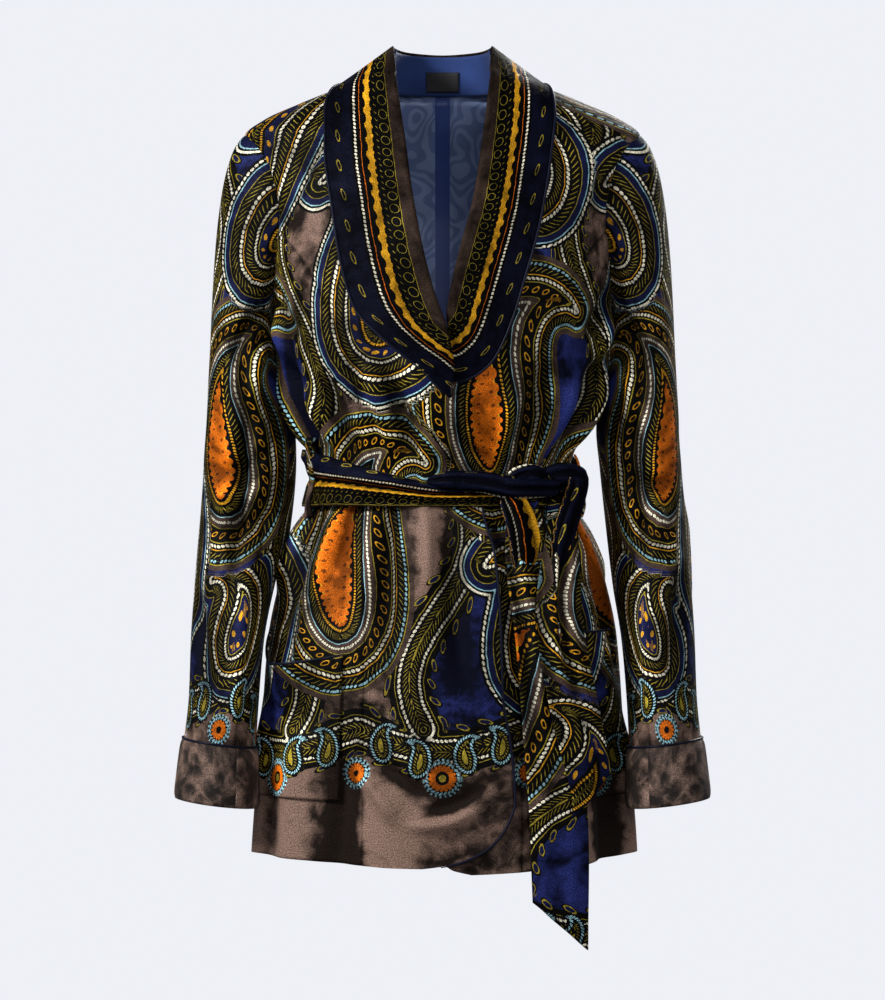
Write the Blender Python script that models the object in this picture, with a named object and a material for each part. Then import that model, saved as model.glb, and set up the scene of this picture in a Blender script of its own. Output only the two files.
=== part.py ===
"""Wrap blazer: shawl collar, two-piece sleeves with turned-back cuffs, patch pockets, tied belt.

The cloth is a set of thin walls over one general figure. Tables and named sizes are in
millimetres; the scene is in metres, +Z up, with the front facing -Y. The origin lies between
the shoulders at the base of the neck, where the wearer carries the garment.
Right and left are the wearer's: the right side is -X.
"""

from collections import namedtuple
import math

import bmesh
import bpy
from mathutils import Matrix
import numpy as np

MM = 0.001

# Cloth and seams
VELVET = 2.0
LINING = 1.0
SEAM_GAP = 0.4
PIPING_RADIUS = 1.4
SEAM_COLUMN = 0.02

# Heights of the main lines
NECK_POINT = 20.0
SHOULDER_POINT = -34.0
UNDERARM = -188.0
HEM = -703.0
UNDER_HEM = -709.0
SIDE_HEM_RISE = 8.0
SIDE_HEM_RISE_TOP = -560.0

# Front overlap: the right front lies over the left one
LAP_LIFT = 6.8
LAP_START = -62.0
LAP_FULL = -18.0
LAP_TOP = -180.0
LAP_TOP_FULL = -236.0

# Armhole: how far it reaches forward and back of the side line, in degrees
ARMHOLE_FRONT = 17.0
ARMHOLE_BACK = 20.0
ARMHOLE_CLEAR = 0.987
ARMHOLE_LIFT = 1.0
ARMHOLE_STEP = 20.0
PANEL_SEAM_TURN = 100.0
UNDERARM_TURN = 180.0

# Rows of a body panel below and above the waist, and over the shoulder
WAIST = -352.0
SKIRT_ROWS = 7
CHEST_ROWS = 5
SHOULDER_ROWS = 4
CORNER_ROWS = (3.0, 9.0, 22.0, 39.0)

# Sleeve seams and the height where the cap becomes a plain tube
FRONT_SLEEVE_SEAM = 120.0
BACK_SLEEVE_SEAM = 240.0
CAP_END = -236.0
SLEEVE_END = -644.0

# Turned-back cuff
CUFF_TOP = -594.0
CUFF_BOTTOM = -648.0
CUFF_LIFT_TOP = 3.0
CUFF_LIFT_BOTTOM = 5.5

# Patch pocket, in degrees from the front and heights
POCKET_INNER = 41.0
POCKET_OUTER = 78.0
POCKET_TOP = -490.0
POCKET_BOTTOM = -646.0
POCKET_LIFT = 2.8
POCKET_GAPE = 7.0

# Belt round the waist
BELT_LIFT = 10.0
BELT_BOTTOM = -380.0
BELT_HEIGHT = 58.0
KNOT_ANGLE = 33.0
KNOT_HEIGHT = -357.0
KNOT_HALF = (25.0, 12.0, 17.0)
KNOT_LIFT = 24.0
RIGHT_LOOP_ANGLE = -72.0
LEFT_LOOP_ANGLE = 83.0
LOOP_HALF_WIDTH = 4.5
LOOP_WALL = 1.5
LOOP_PAST_BELT = 9.0
LOOP_BEND = 8.5

# Lining of the back, in degrees round the body and heights
LINING_START = 104.0
LINING_TOP = 7.0
LINING_SIDE_TOP = -70.0
LINING_SHOULDER = (38.0, 70.0)
LINING_HEM_RISE = 22.0
LINING_DEPTH = 5.7
PLEAT_DEPTH = 1.2
PLEAT_REACH = 8.0

# Label inside the back neck
LABEL_WIDTH = 31.0
LABEL_HEIGHT = 19.0
LABEL_MIDDLE = 22.0
LABEL_WALL = 0.8

# Sections of the figure the cloth hangs on
Section = namedtuple("Section", "height half_width front back")
BODY = (
    Section(-800.0, 178.0, 131.0, 130.0),
    Section(-704.0, 175.0, 129.0, 128.0),
    Section(-600.0, 169.0, 123.0, 126.0),
    Section(-500.0, 162.0, 117.0, 119.0),
    Section(-446.0, 151.0, 111.0, 108.0),
    Section(-408.0, 138.0, 103.0, 96.0),
    Section(-380.0, 125.0, 96.0, 89.0),
    Section(-352.0, 117.5, 91.0, 84.0),
    Section(-330.0, 121.5, 95.0, 86.0),
    Section(-300.0, 138.0, 106.0, 93.0),
    Section(-276.0, 147.0, 114.0, 99.0),
    Section(-220.0, 155.0, 122.0, 107.0),
    Section(-160.0, 160.0, 119.0, 110.0),
    Section(-110.0, 164.0, 106.0, 107.0),
    Section(-70.0, 175.0, 88.0, 97.0),
    Section(-34.0, 184.0, 68.0, 82.0),
    Section(-19.0, 166.0, 60.0, 75.0),
    Section(-4.0, 133.0, 53.0, 69.0),
    Section(11.0, 96.0, 47.0, 63.0),
    Section(20.0, 75.0, 44.0, 60.0),
)
BODY_SQUARENESS = 2.2

# Edges of the fronts: how far across the body the cloth reaches at each height
Edge = namedtuple("Edge", "height across")
RIGHT_FRONT_EDGE = (
    Edge(20.0, -66.0),
    Edge(-4.0, -48.0),
    Edge(-49.0, -42.0),
    Edge(-92.0, -36.0),
    Edge(-142.0, -27.0),
    Edge(-187.0, -15.0),
    Edge(-221.0, -3.0),
    Edge(-262.0, 7.0),
    Edge(-309.0, 25.0),
    Edge(-340.0, 34.0),
    Edge(-383.0, 35.0),
    Edge(-421.0, 45.0),
    Edge(-477.0, 50.0),
    Edge(-556.0, 53.0),
    Edge(-584.0, 58.0),
    Edge(-619.0, 62.0),
    Edge(-645.0, 63.0),
    Edge(-664.0, 57.0),
    Edge(-681.0, 45.0),
    Edge(-694.0, 24.0),
    Edge(-700.0, 3.0),
    Edge(-703.0, -18.0),
)
LEFT_FRONT_EDGE = (
    Edge(20.0, 66.0),
    Edge(-8.0, 49.0),
    Edge(-59.0, 43.0),
    Edge(-100.0, 36.0),
    Edge(-138.0, 26.0),
    Edge(-170.0, 17.0),
    Edge(-208.0, 7.0),
    Edge(-262.0, -6.0),
    Edge(-310.0, -12.0),
    Edge(-560.0, -15.0),
    Edge(-664.0, -14.0),
    Edge(-690.0, -6.0),
    Edge(-704.0, 8.0),
    Edge(-709.0, 26.0),
)
PANEL_SEAM = (
    Edge(-124.4, 151.6),
    Edge(-160.0, 124.0),
    Edge(-200.0, 104.0),
    Edge(-260.0, 82.0),
    Edge(-350.0, 62.0),
    Edge(-450.0, 69.0),
    Edge(-560.0, 72.0),
    Edge(-709.0, 73.0),
)

# Shawl collar: roll line and outer edge, station by station from the front end to the centre
# back. A station with no depth given lies on the chest.
CollarStation = namedtuple("CollarStation", "roll_x roll_y roll_z edge_x edge_y edge_z lift rise")
RIGHT_COLLAR = (
    CollarStation(9.0, None, -277.0, 7.0, None, -281.0, 9.4, 0.5),
    CollarStation(7.2, None, -248.0, -19.8, None, -254.0, 9.4, 1.0),
    CollarStation(1.8, None, -221.0, -51.0, None, -228.0, 7.4, 3.0),
    CollarStation(-10.0, None, -187.0, -78.0, None, -199.0, 3.0, 5.0),
    CollarStation(-21.6, None, -142.5, -91.0, None, -158.0, 2.6, 6.0),
    CollarStation(-30.8, None, -91.5, -99.5, None, -105.0, 2.6, 6.0),
    CollarStation(-36.4, None, -49.0, -106.5, None, -53.5, 2.6, 6.0),
    CollarStation(-42.3, None, -4.0, -106.7, None, -15.0, 3.6, 6.0),
    CollarStation(-47.0, 0.0, 50.0, -93.0, 2.0, 15.5, 3.0, 3.0),
    CollarStation(-36.0, 42.0, 49.0, -75.0, 58.0, 2.0, 3.0, 3.0),
    CollarStation(-0.3, 60.0, 47.5, -0.3, 82.0, -12.0, 3.0, 3.0),
)
LEFT_COLLAR = (
    CollarStation(7.2, None, -262.0, 9.4, None, -266.0, 2.1, 0.0),
    CollarStation(7.4, None, -232.5, 24.0, None, -262.0, 2.1, 0.0),
    CollarStation(5.5, None, -208.0, 43.0, None, -248.0, 2.6, 0.0),
    CollarStation(12.6, None, -169.5, 61.0, None, -212.0, 2.6, 3.0),
    CollarStation(20.7, None, -138.0, 73.8, None, -170.0, 2.6, 5.0),
    CollarStation(30.8, None, -100.5, 88.7, None, -114.0, 2.6, 6.0),
    CollarStation(37.3, None, -59.0, 97.4, None, -61.0, 2.6, 6.0),
    CollarStation(43.2, None, -8.6, 102.0, None, -18.0, 3.6, 6.0),
    CollarStation(47.0, 0.0, 50.0, 93.0, 2.0, 15.5, 3.0, 3.0),
    CollarStation(36.0, 42.0, 49.0, 75.0, 58.0, 2.0, 3.0, 3.0),
    CollarStation(0.3, 60.0, 47.5, 0.3, 82.0, -12.0, 3.0, 3.0),
)

# Stand of the collar, seen as the facing inside the back neck
Stand = namedtuple("Stand", "height half_width back")
STAND = (Stand(9.0, 58.0, 57.3), Stand(28.0, 50.0, 57.5), Stand(46.0, 43.8, 57.1))
STAND_REACH = 100.0

# Sleeve sections: middle, half width, half depth, and fall of the inner side per unit of width
SleeveSection = namedtuple("SleeveSection", "height middle_x middle_y half_width half_depth tilt")
RIGHT_SLEEVE = (
    SleeveSection(-236.0, 188.5, 4.0, 28.0, 53.0, 0.00),
    SleeveSection(-263.0, 187.0, 4.0, 31.0, 52.0, 0.01),
    SleeveSection(-306.0, 180.5, 3.0, 39.5, 50.0, 0.02),
    SleeveSection(-340.0, 179.0, 0.0, 43.0, 49.0, 0.03),
    SleeveSection(-400.0, 183.5, -10.0, 42.0, 48.0, 0.05),
    SleeveSection(-446.0, 191.5, -22.0, 37.0, 47.0, 0.07),
    SleeveSection(-500.0, 198.0, -36.0, 33.5, 46.0, 0.09),
    SleeveSection(-560.0, 201.0, -49.0, 32.0, 45.0, 0.11),
    SleeveSection(-600.0, 204.0, -57.0, 33.0, 45.0, 0.13),
    SleeveSection(-650.0, 206.5, -64.0, 34.0, 46.0, 0.13),
)
LEFT_SLEEVE = (
    SleeveSection(-236.0, 188.5, 4.0, 28.0, 53.0, 0.00),
    SleeveSection(-263.0, 187.0, 4.0, 31.0, 52.0, 0.01),
    SleeveSection(-306.0, 183.5, 3.0, 36.5, 50.0, 0.02),
    SleeveSection(-340.0, 184.0, 0.0, 38.0, 49.0, 0.03),
    SleeveSection(-400.0, 189.0, -10.0, 37.0, 48.0, 0.05),
    SleeveSection(-446.0, 193.0, -22.0, 36.0, 47.0, 0.07),
    SleeveSection(-500.0, 198.5, -36.0, 33.5, 46.0, 0.09),
    SleeveSection(-560.0, 201.5, -49.0, 32.0, 45.0, 0.11),
    SleeveSection(-600.0, 204.0, -57.0, 33.0, 45.0, 0.13),
    SleeveSection(-650.0, 206.5, -64.0, 34.0, 46.0, 0.13),
)
SLEEVE_GAP_DEGREES = math.degrees(SEAM_GAP / 2 / LEFT_SLEEVE[5].half_width)

# Sleeve cap: share of the rows, and how the cloth leaves the armhole and lands on the tube
CAP_SHARE = 0.34
CAP_TANGENT_TOP = (84.0, 0.0, -42.0)
CAP_TANGENT_UNDER = (14.0, 0.0, -16.0)
CAP_SPREAD = 8.0
CAP_LANDING_TOP = (10.0, 0.0, -230.0)
CAP_LANDING_UNDER = (4.0, 0.0, -42.0)

# Top edge of the belt, in degrees round the body: it narrows into the knot from both sides
BeltTop = namedtuple("BeltTop", "angle drop")
BELT_TOP = (
    BeltTop(-90.0, 0.0),
    BeltTop(-62.0, 6.0),
    BeltTop(-30.0, 24.0),
    BeltTop(0.0, 37.0),
    BeltTop(28.0, 36.0),
    BeltTop(30.0, 36.0),
)
BELT_JOIN = 92.0
BELT_LEFT_START = 36.0
BELT_LEFT_TOP = (BeltTop(36.0, 26.0), BeltTop(52.0, 14.0), BeltTop(80.0, 0.0))

# Belt tails, from the knot down: middle, half width, distance off the body
TailStation = namedtuple("TailStation", "height middle half_width lift")
LONG_TAIL = (
    TailStation(-376.0, 67.0, 12.0, 12.6),
    TailStation(-430.0, 75.0, 19.0, 11.0),
    TailStation(-500.0, 88.0, 24.0, 11.0),
    TailStation(-580.0, 95.0, 25.0, 11.0),
    TailStation(-680.0, 101.0, 25.0, 10.5),
    TailStation(-756.0, 102.5, 23.5, 10.0),
)
SHORT_TAIL = (
    TailStation(-376.0, 98.0, 10.0, 12.6),
    TailStation(-410.0, 99.0, 13.0, 15.0),
    TailStation(-470.0, 98.0, 18.0, 15.0),
    TailStation(-560.0, 111.0, 20.0, 14.5),
    TailStation(-640.0, 127.5, 17.5, 14.0),
)
LONG_TAIL_SLANT = 45.0
SHORT_TAIL_SLANT = -40.0

# Finishes: colour, roughness
Finish = namedtuple("Finish", "colour roughness")
PRINTED_VELVET = Finish((0.030, 0.026, 0.030), 0.7)
BROWN_VELVET = Finish((0.085, 0.055, 0.045), 0.6)
NAVY_VELVET = Finish((0.012, 0.014, 0.035), 0.7)
NAVY_SATIN = Finish((0.014, 0.022, 0.070), 0.45)
LABEL_SATIN = Finish((0.02, 0.02, 0.022), 0.6)


def read_smoothly(table, key, column, at):
    """Reads a table's column at any key, on a smooth curve that never overshoots its rows."""
    rows = sorted(table, key=lambda row: getattr(row, key))
    keys = np.array([getattr(row, key) for row in rows], float)
    values = np.array([getattr(row, column) for row in rows], float)
    spans = np.diff(keys)
    slopes = np.diff(values) / spans
    tangents = np.concatenate([slopes[:1], np.zeros(len(keys) - 2), slopes[-1:]])
    same_way = slopes[:-1] * slopes[1:] > 0
    pair = np.where(same_way, slopes[:-1] + slopes[1:], 1.0)
    tangents[1:-1] = np.where(same_way, 2 * slopes[:-1] * slopes[1:] / pair, 0.0)
    at = np.clip(np.asarray(at, float), keys[0], keys[-1])
    span = np.clip(np.searchsorted(keys, at) - 1, 0, len(keys) - 2)
    share = (at - keys[span]) / spans[span]
    return hermite(
        share,
        values[span],
        tangents[span] * spans[span],
        values[span + 1],
        tangents[span + 1] * spans[span],
    )


def hermite(share, start, start_slope, end, end_slope):
    """A cubic from start to end with the given slopes."""
    square, cube = share**2, share**3
    return (
        (2 * cube - 3 * square + 1) * start
        + (cube - 2 * square + share) * start_slope
        + (3 * square - 2 * cube) * end
        + (cube - square) * end_slope
    )


def ease(value, low, high):
    """0 below low, 1 above high, smooth between them."""
    share = np.clip((np.asarray(value, float) - low) / (high - low), 0.0, 1.0)
    return share * share * (3 - 2 * share)


def mix(start, end, share):
    """The value that lies a share of the way from start to end."""
    return start + (end - start) * share


def body_surface(angle, height):
    """A point of the figure, at an angle in degrees from the front towards the left side."""
    turn = np.radians(angle)
    across, forward = np.sin(turn), np.cos(turn)
    half_width = read_smoothly(BODY, "height", "half_width", height)
    front = read_smoothly(BODY, "height", "front", height)
    back = read_smoothly(BODY, "height", "back", height)
    depth = np.where(forward > 0, front, back)
    power = BODY_SQUARENESS
    reach = ((np.abs(across) / half_width) ** power + (np.abs(forward) / depth) ** power) ** (-1 / power)
    return np.stack([reach * across, -reach * forward, height + 0 * reach], axis=-1)


def on_body(angle, height, lift=0.0):
    """A point of the figure moved out along the surface's normal."""
    angle, height, lift = np.broadcast_arrays(*(np.asarray(v, float) for v in (angle, height, lift)))
    step_angle, step_height = 0.5, 0.5
    around = body_surface(angle + step_angle, height) - body_surface(angle - step_angle, height)
    upward = body_surface(angle, height + step_height) - body_surface(angle, height - step_height)
    normal = np.cross(around, upward)
    normal /= np.linalg.norm(normal, axis=-1, keepdims=True)
    return body_surface(angle, height) + normal * lift[..., None]


def front_angle(across, height):
    """The angle at which the front of the figure lies this far across."""
    half_width = read_smoothly(BODY, "height", "half_width", height)
    front = read_smoothly(BODY, "height", "front", height)
    share = np.clip(np.abs(across) / half_width, 0.0, 0.9999)
    depth = front * (1 - share**BODY_SQUARENESS) ** (1 / BODY_SQUARENESS)
    return np.degrees(np.arctan2(across, depth))


def armhole_height(turn):
    """Height of the armhole's edge, by the turn in degrees from the shoulder point."""
    middle = (SHOULDER_POINT + UNDERARM) / 2
    return middle + (SHOULDER_POINT - UNDERARM) / 2 * np.cos(np.radians(turn))


def armhole_angle(height, reach):
    """How far the armhole's edge lies from the side line at a height, in degrees."""
    middle = (SHOULDER_POINT + UNDERARM) / 2
    share = np.clip((height - middle) / ((SHOULDER_POINT - UNDERARM) / 2), -1.0, 1.0)
    return reach * np.sqrt(1 - share**2)


def seam_degrees(height):
    """Half of the seam gap, as an angle round the body."""
    return np.degrees(SEAM_GAP / 2 / read_smoothly(BODY, "height", "front", height))


def panel_seam_angle(height):
    """Angle of the seam between a front and its side panel."""
    return front_angle(read_smoothly(PANEL_SEAM, "height", "across", height), height)


def outer_line(height):
    """Outer edge of a front panel: panel seam, then armhole, then shoulder seam."""
    seam = panel_seam_angle(height)
    armhole = 90.0 - armhole_angle(height, ARMHOLE_FRONT)
    return np.where(height < armhole_height(PANEL_SEAM_TURN) - 0.01, seam, armhole) - seam_degrees(height)


def lap_lift(across, height):
    """How far the right front stands off the left one that it covers."""
    return LAP_LIFT * ease(across, LAP_START, LAP_FULL) * ease(-height, -LAP_TOP, -LAP_TOP_FULL)


def row_heights(low, turn):
    """Rows of a body panel from its hem to the neck, the armhole starting at a turn."""
    skirt = np.linspace(low, WAIST, SKIRT_ROWS + 1)
    chest = np.linspace(WAIST, armhole_height(turn), CHEST_ROWS + 1)
    armhole = armhole_height(np.arange(turn - ARMHOLE_STEP, -1.0, -ARMHOLE_STEP))
    shoulder = np.linspace(SHOULDER_POINT, NECK_POINT, SHOULDER_ROWS + 1)
    corner = low + np.array(CORNER_ROWS if turn == PANEL_SEAM_TURN else ())
    return np.unique(np.round(np.concatenate([skirt, corner, chest, armhole, shoulder]), 4))


def at_row(heights, share):
    """The height at a share of the rows."""
    return np.interp(share * (len(heights) - 1), np.arange(len(heights)), heights)


def hung(angle, height):
    """Height of a point of the skirt, which rises a little towards the side seams."""
    return height + SIDE_HEM_RISE * np.sin(np.radians(angle)) ** 2 * ease(-height, -SIDE_HEM_RISE_TOP, -HEM)


def front_right(u, v):
    """Right front, which laps over the left: panel seam to front edge."""
    height = at_row(row_heights(HEM, PANEL_SEAM_TURN), v)
    edge = front_angle(read_smoothly(RIGHT_FRONT_EDGE, "height", "across", height), height)
    angle = mix(-outer_line(height), edge, u)
    across = body_surface(angle, height)[..., 0]
    return on_body(angle, hung(angle, height), lap_lift(across, height))


def front_left(u, v):
    """Left front, which lies underneath: front edge to panel seam."""
    height = at_row(row_heights(UNDER_HEM, PANEL_SEAM_TURN), v)
    edge = front_angle(read_smoothly(LEFT_FRONT_EDGE, "height", "across", height), height)
    angle = mix(edge, outer_line(height), u)
    return on_body(angle, hung(angle, height))


def side_panel(side):
    """Side panel under the arm, from the panel seam to the side seam."""

    def place(u, v):
        across = u if side > 0 else 1 - u
        low = HEM if side < 0 else mix(UNDER_HEM, HEM, across)
        top = armhole_height(mix(PANEL_SEAM_TURN, UNDERARM_TURN, across))
        row = v * (SKIRT_ROWS + CHEST_ROWS)
        skirt = mix(low, WAIST, np.minimum(row / SKIRT_ROWS, 1.0))
        chest = np.maximum(row - SKIRT_ROWS, 0.0) / CHEST_ROWS
        height = skirt + (top - WAIST) * chest
        top_seam = panel_seam_angle(top)
        on_armhole = (90.0 - armhole_angle(top, ARMHOLE_FRONT) - top_seam) / (90.0 - top_seam)
        gap = seam_degrees(height)
        share = mix(across, on_armhole, ease(chest, 0.0, 1.0))
        angle = mix(panel_seam_angle(height) + gap, 90.0 - gap, share)
        return on_body(side * angle, hung(angle, height))

    return place


def back(u, v):
    """Back, side seam to side seam, with both armholes and shoulder seams."""
    height = at_row(row_heights(HEM, UNDERARM_TURN), v)
    armhole = np.where(height < UNDERARM, 0.0, armhole_angle(height, ARMHOLE_BACK))
    start = 90.0 + armhole + seam_degrees(height)
    angle = mix(start, 360.0 - start, u)
    return on_body(angle, hung(angle, height))


def back_lining(u, v):
    """Lining of the back, a little inside it, with a pleat down the middle."""
    angle = mix(LINING_START, 360.0 - LINING_START, u)
    from_middle = np.abs(angle - 180.0)
    top = mix(LINING_TOP, LINING_SIDE_TOP, ease(from_middle, *LINING_SHOULDER))
    low = HEM + LINING_HEM_RISE
    height = mix(low, WAIST, np.minimum(2 * v, 1.0)) + (top - WAIST) * np.maximum(2 * v - 1, 0.0)
    pleat = PLEAT_DEPTH * ease(-from_middle, -PLEAT_REACH, 0.0)
    return on_body(angle, height, pleat - LINING_DEPTH)


NumberedStation = namedtuple("NumberedStation", ("index",) + CollarStation._fields)


def solved(row):
    """A collar station with its depths filled in from the chest where none are given."""
    if row.roll_y is not None:
        return row
    roll = on_body(front_angle(row.roll_x, row.roll_z), row.roll_z, row.lift + row.rise)
    edge = on_body(front_angle(row.edge_x, row.edge_z), row.edge_z, row.lift)
    return row._replace(roll_y=roll[1], edge_y=edge[1])


def clear_of_body(point, lift):
    """A point pushed out along the figure's normal until it stands this far off it."""
    turn = np.degrees(np.arctan2(point[..., 0], -point[..., 1]))
    height = np.minimum(point[..., 2], NECK_POINT - 1.0)
    surface = body_surface(turn, height)
    normal = on_body(turn, height, 1.0) - surface
    outward = point[..., :2] / np.linalg.norm(point[..., :2], axis=-1, keepdims=True)
    reach = np.linalg.norm(point[..., :2], axis=-1) - np.linalg.norm(surface[..., :2], axis=-1)
    stands_off = reach * np.sum(normal[..., :2] * outward, axis=-1)
    push = np.maximum(lift - stands_off, 0.0) * (point[..., 2] < NECK_POINT)
    return point + normal * push[..., None]


def collar(stations, side):
    """Half of the shawl collar, lying on the chest and falling over the shoulder and back."""
    beside = stations[-2]
    across_back = beside._replace(roll_x=-beside.roll_x, edge_x=-beside.edge_x)
    whole = (*stations, across_back)
    numbered = [NumberedStation(index, *solved(row)) for index, row in enumerate(whole)]

    def place(u, v):
        across = (v if side > 0 else 1 - v)[..., None]
        read = {
            column: read_smoothly(numbered, "index", column, u * (len(stations) - 1))
            for column in CollarStation._fields
        }
        roll = np.stack([read["roll_x"], read["roll_y"], read["roll_z"]], axis=-1)
        edge = np.stack([read["edge_x"], read["edge_y"], read["edge_z"]], axis=-1)
        lift = read["lift"] + read["rise"] * (1 - across[..., 0]) ** 2
        point = mix(roll, edge, across)
        for _ in range(3):
            point = clear_of_body(point, lift)
        return point

    return place


def neck_facing(u, v):
    """Inside of the collar stand, round the back of the neck."""
    angle = np.radians(mix(180.0 - STAND_REACH, 180.0 + STAND_REACH, u))
    height = mix(STAND[0].height, STAND[-1].height, v)
    half_width = read_smoothly(STAND, "height", "half_width", height)
    depth = read_smoothly(STAND, "height", "back", height)
    return np.stack([half_width * np.sin(angle), -depth * np.cos(angle), height], axis=-1)


def label(u, v):
    """Plain woven label on the facing, at the centre back."""
    height = LABEL_MIDDLE + (v - 0.5) * LABEL_HEIGHT
    across = (0.5 - u) * LABEL_WIDTH
    half_width = read_smoothly(STAND, "height", "half_width", height)
    depth = read_smoothly(STAND, "height", "back", height)
    inside = depth * np.sqrt(1 - (across / half_width) ** 2) - LINING - 2 * SEAM_GAP
    return np.stack([across, inside, height], axis=-1)


def sleeve_tube(angle, height, side, lift=0.0):
    """Plain part of a sleeve. Angle 0 is the outside of the arm, 90 its front."""
    turn = np.radians(angle)
    sections = RIGHT_SLEEVE if side < 0 else LEFT_SLEEVE
    middle_x, middle_y, half_width, half_depth, tilt = (
        read_smoothly(sections, "height", column, height) for column in SleeveSection._fields[1:]
    )
    out = (half_width + lift) * np.cos(turn)
    return np.stack(
        [side * (middle_x + out), middle_y - (half_depth + lift) * np.sin(turn), height + tilt * out],
        axis=-1,
    )


def sleeve_cap(angle, share, side):
    """Sleeve from the armhole seam down to where it becomes a plain tube."""
    turn = np.radians(angle)
    height = mix(armhole_height(90.0), armhole_height(angle), ARMHOLE_CLEAR)
    reach = np.where(np.sin(turn) > 0, ARMHOLE_FRONT, ARMHOLE_BACK) * ARMHOLE_CLEAR
    seam = on_body(90.0 - reach * np.sin(turn), height, ARMHOLE_LIFT)
    tube = sleeve_tube(angle, np.full_like(turn, CAP_END), 1)
    over = ((1 + np.cos(turn)) / 2)[..., None]
    leaving = mix(np.array(CAP_TANGENT_UNDER), np.array(CAP_TANGENT_TOP), over)
    leaving[..., 1] = leaving[..., 1] - CAP_SPREAD * np.sin(turn)
    landing = mix(np.array(CAP_LANDING_UNDER), np.array(CAP_LANDING_TOP), over)
    point = hermite(share[..., None], seam, leaving, tube, landing)
    return point * np.array([side, 1.0, 1.0])


def sleeve(side, start, end):
    """One piece of a sleeve between two lengthwise seams."""

    def place(u, v):
        along = u if side < 0 else 1 - u
        angle = mix(start + SLEEVE_GAP_DEGREES, end - SLEEVE_GAP_DEGREES, along)
        down = 1 - v
        cap = sleeve_cap(angle, np.clip(down / CAP_SHARE, 0.0, 1.0), side)
        height = mix(CAP_END, SLEEVE_END, np.clip((down - CAP_SHARE) / (1 - CAP_SHARE), 0.0, 1.0))
        tube = sleeve_tube(angle, height, side)
        return np.where((down < CAP_SHARE)[..., None], cap, tube)

    return place


def cuff(side):
    """Turned-back cuff round the end of a sleeve, closed at the front seam."""

    def place(u, v):
        along = u if side < 0 else 1 - u
        first = FRONT_SLEEVE_SEAM + SLEEVE_GAP_DEGREES
        angle = mix(first, FRONT_SLEEVE_SEAM + 360.0 - SLEEVE_GAP_DEGREES, along)
        height = mix(CUFF_BOTTOM, CUFF_TOP, v)
        return sleeve_tube(angle, height, side, mix(CUFF_LIFT_BOTTOM, CUFF_LIFT_TOP, v))

    return place


def pocket(side):
    """Patch pocket on a side panel, its mouth standing a little open."""

    def place(u, v):
        across = u if side > 0 else 1 - u
        angle = side * mix(POCKET_INNER, POCKET_OUTER, across)
        height = mix(POCKET_BOTTOM, POCKET_TOP, v)
        gape = POCKET_GAPE * (v**4) * (np.sin(np.pi * across) ** 2)
        return on_body(angle, height, POCKET_LIFT + gape)

    return place


def belt_right(u, v):
    """Belt from the knot across the right front and round to the left side seam."""
    angle = mix(BELT_JOIN - 360.0 + SEAM_GAP, BELT_TOP[-1].angle, u)
    drop = read_smoothly(BELT_TOP, "angle", "drop", angle)
    return on_body(angle, mix(BELT_BOTTOM, BELT_BOTTOM + BELT_HEIGHT - drop, v), BELT_LIFT)


def belt_left(u, v):
    """Belt from the knot across the left front to the left side seam."""
    angle = mix(BELT_LEFT_START, BELT_JOIN - SEAM_GAP, u)
    drop = read_smoothly(BELT_LEFT_TOP, "angle", "drop", angle)
    return on_body(angle, mix(BELT_BOTTOM, BELT_BOTTOM + BELT_HEIGHT - drop, v), BELT_LIFT)


def belt_loop(angle):
    """Belt loop near a side seam, standing over the belt."""

    def place(u, v):
        low = BELT_BOTTOM - LOOP_PAST_BELT
        high = BELT_BOTTOM + BELT_HEIGHT + LOOP_PAST_BELT
        height = mix(low, high, v)
        base = LOOP_WALL + 2 * SEAM_GAP
        over = BELT_LIFT + base + SEAM_GAP
        raised = ease(height, low, low + LOOP_BEND) * ease(-height, -high, LOOP_BEND - high)
        lift = mix(base, over, raised)
        half_angle = np.degrees(LOOP_HALF_WIDTH / read_smoothly(BODY, "height", "half_width", height))
        return on_body(angle + (2 * u - 1) * half_angle, height, lift)

    return place


def belt_tail(stations, slant):
    """A hanging end of the belt, cut on a slant."""

    def place(u, v):
        top, bottom = stations[0].height, stations[-1].height
        height = mix(bottom - slant * (u - 0.5), top, v)
        middle = read_smoothly(stations, "height", "middle", height)
        half_width = read_smoothly(stations, "height", "half_width", height)
        lift = read_smoothly(stations, "height", "lift", height)
        across = middle + (2 * u - 1) * half_width
        return on_body(front_angle(across, height), height, lift)

    return place


def material(name, finish):
    """A plain finish for one piece."""
    made = bpy.data.materials.new(name)
    made.use_nodes = True
    shader = made.node_tree.nodes["Principled BSDF"]
    shader.inputs["Base Color"].default_value = (*finish.colour, 1.0)
    shader.inputs["Roughness"].default_value = finish.roughness
    shader.inputs["Metallic"].default_value = 0.0
    return made


def add_object(name, mesh_from, finish):
    """Puts a bmesh into the scene as a named object with its own material."""
    mesh = bpy.data.meshes.new(name)
    mesh_from.to_mesh(mesh)
    mesh_from.free()
    mesh.shade_smooth()
    made = bpy.data.objects.new(name, mesh)
    bpy.context.scene.collection.objects.link(made)
    mesh.materials.append(material(name, finish))
    return made


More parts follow.
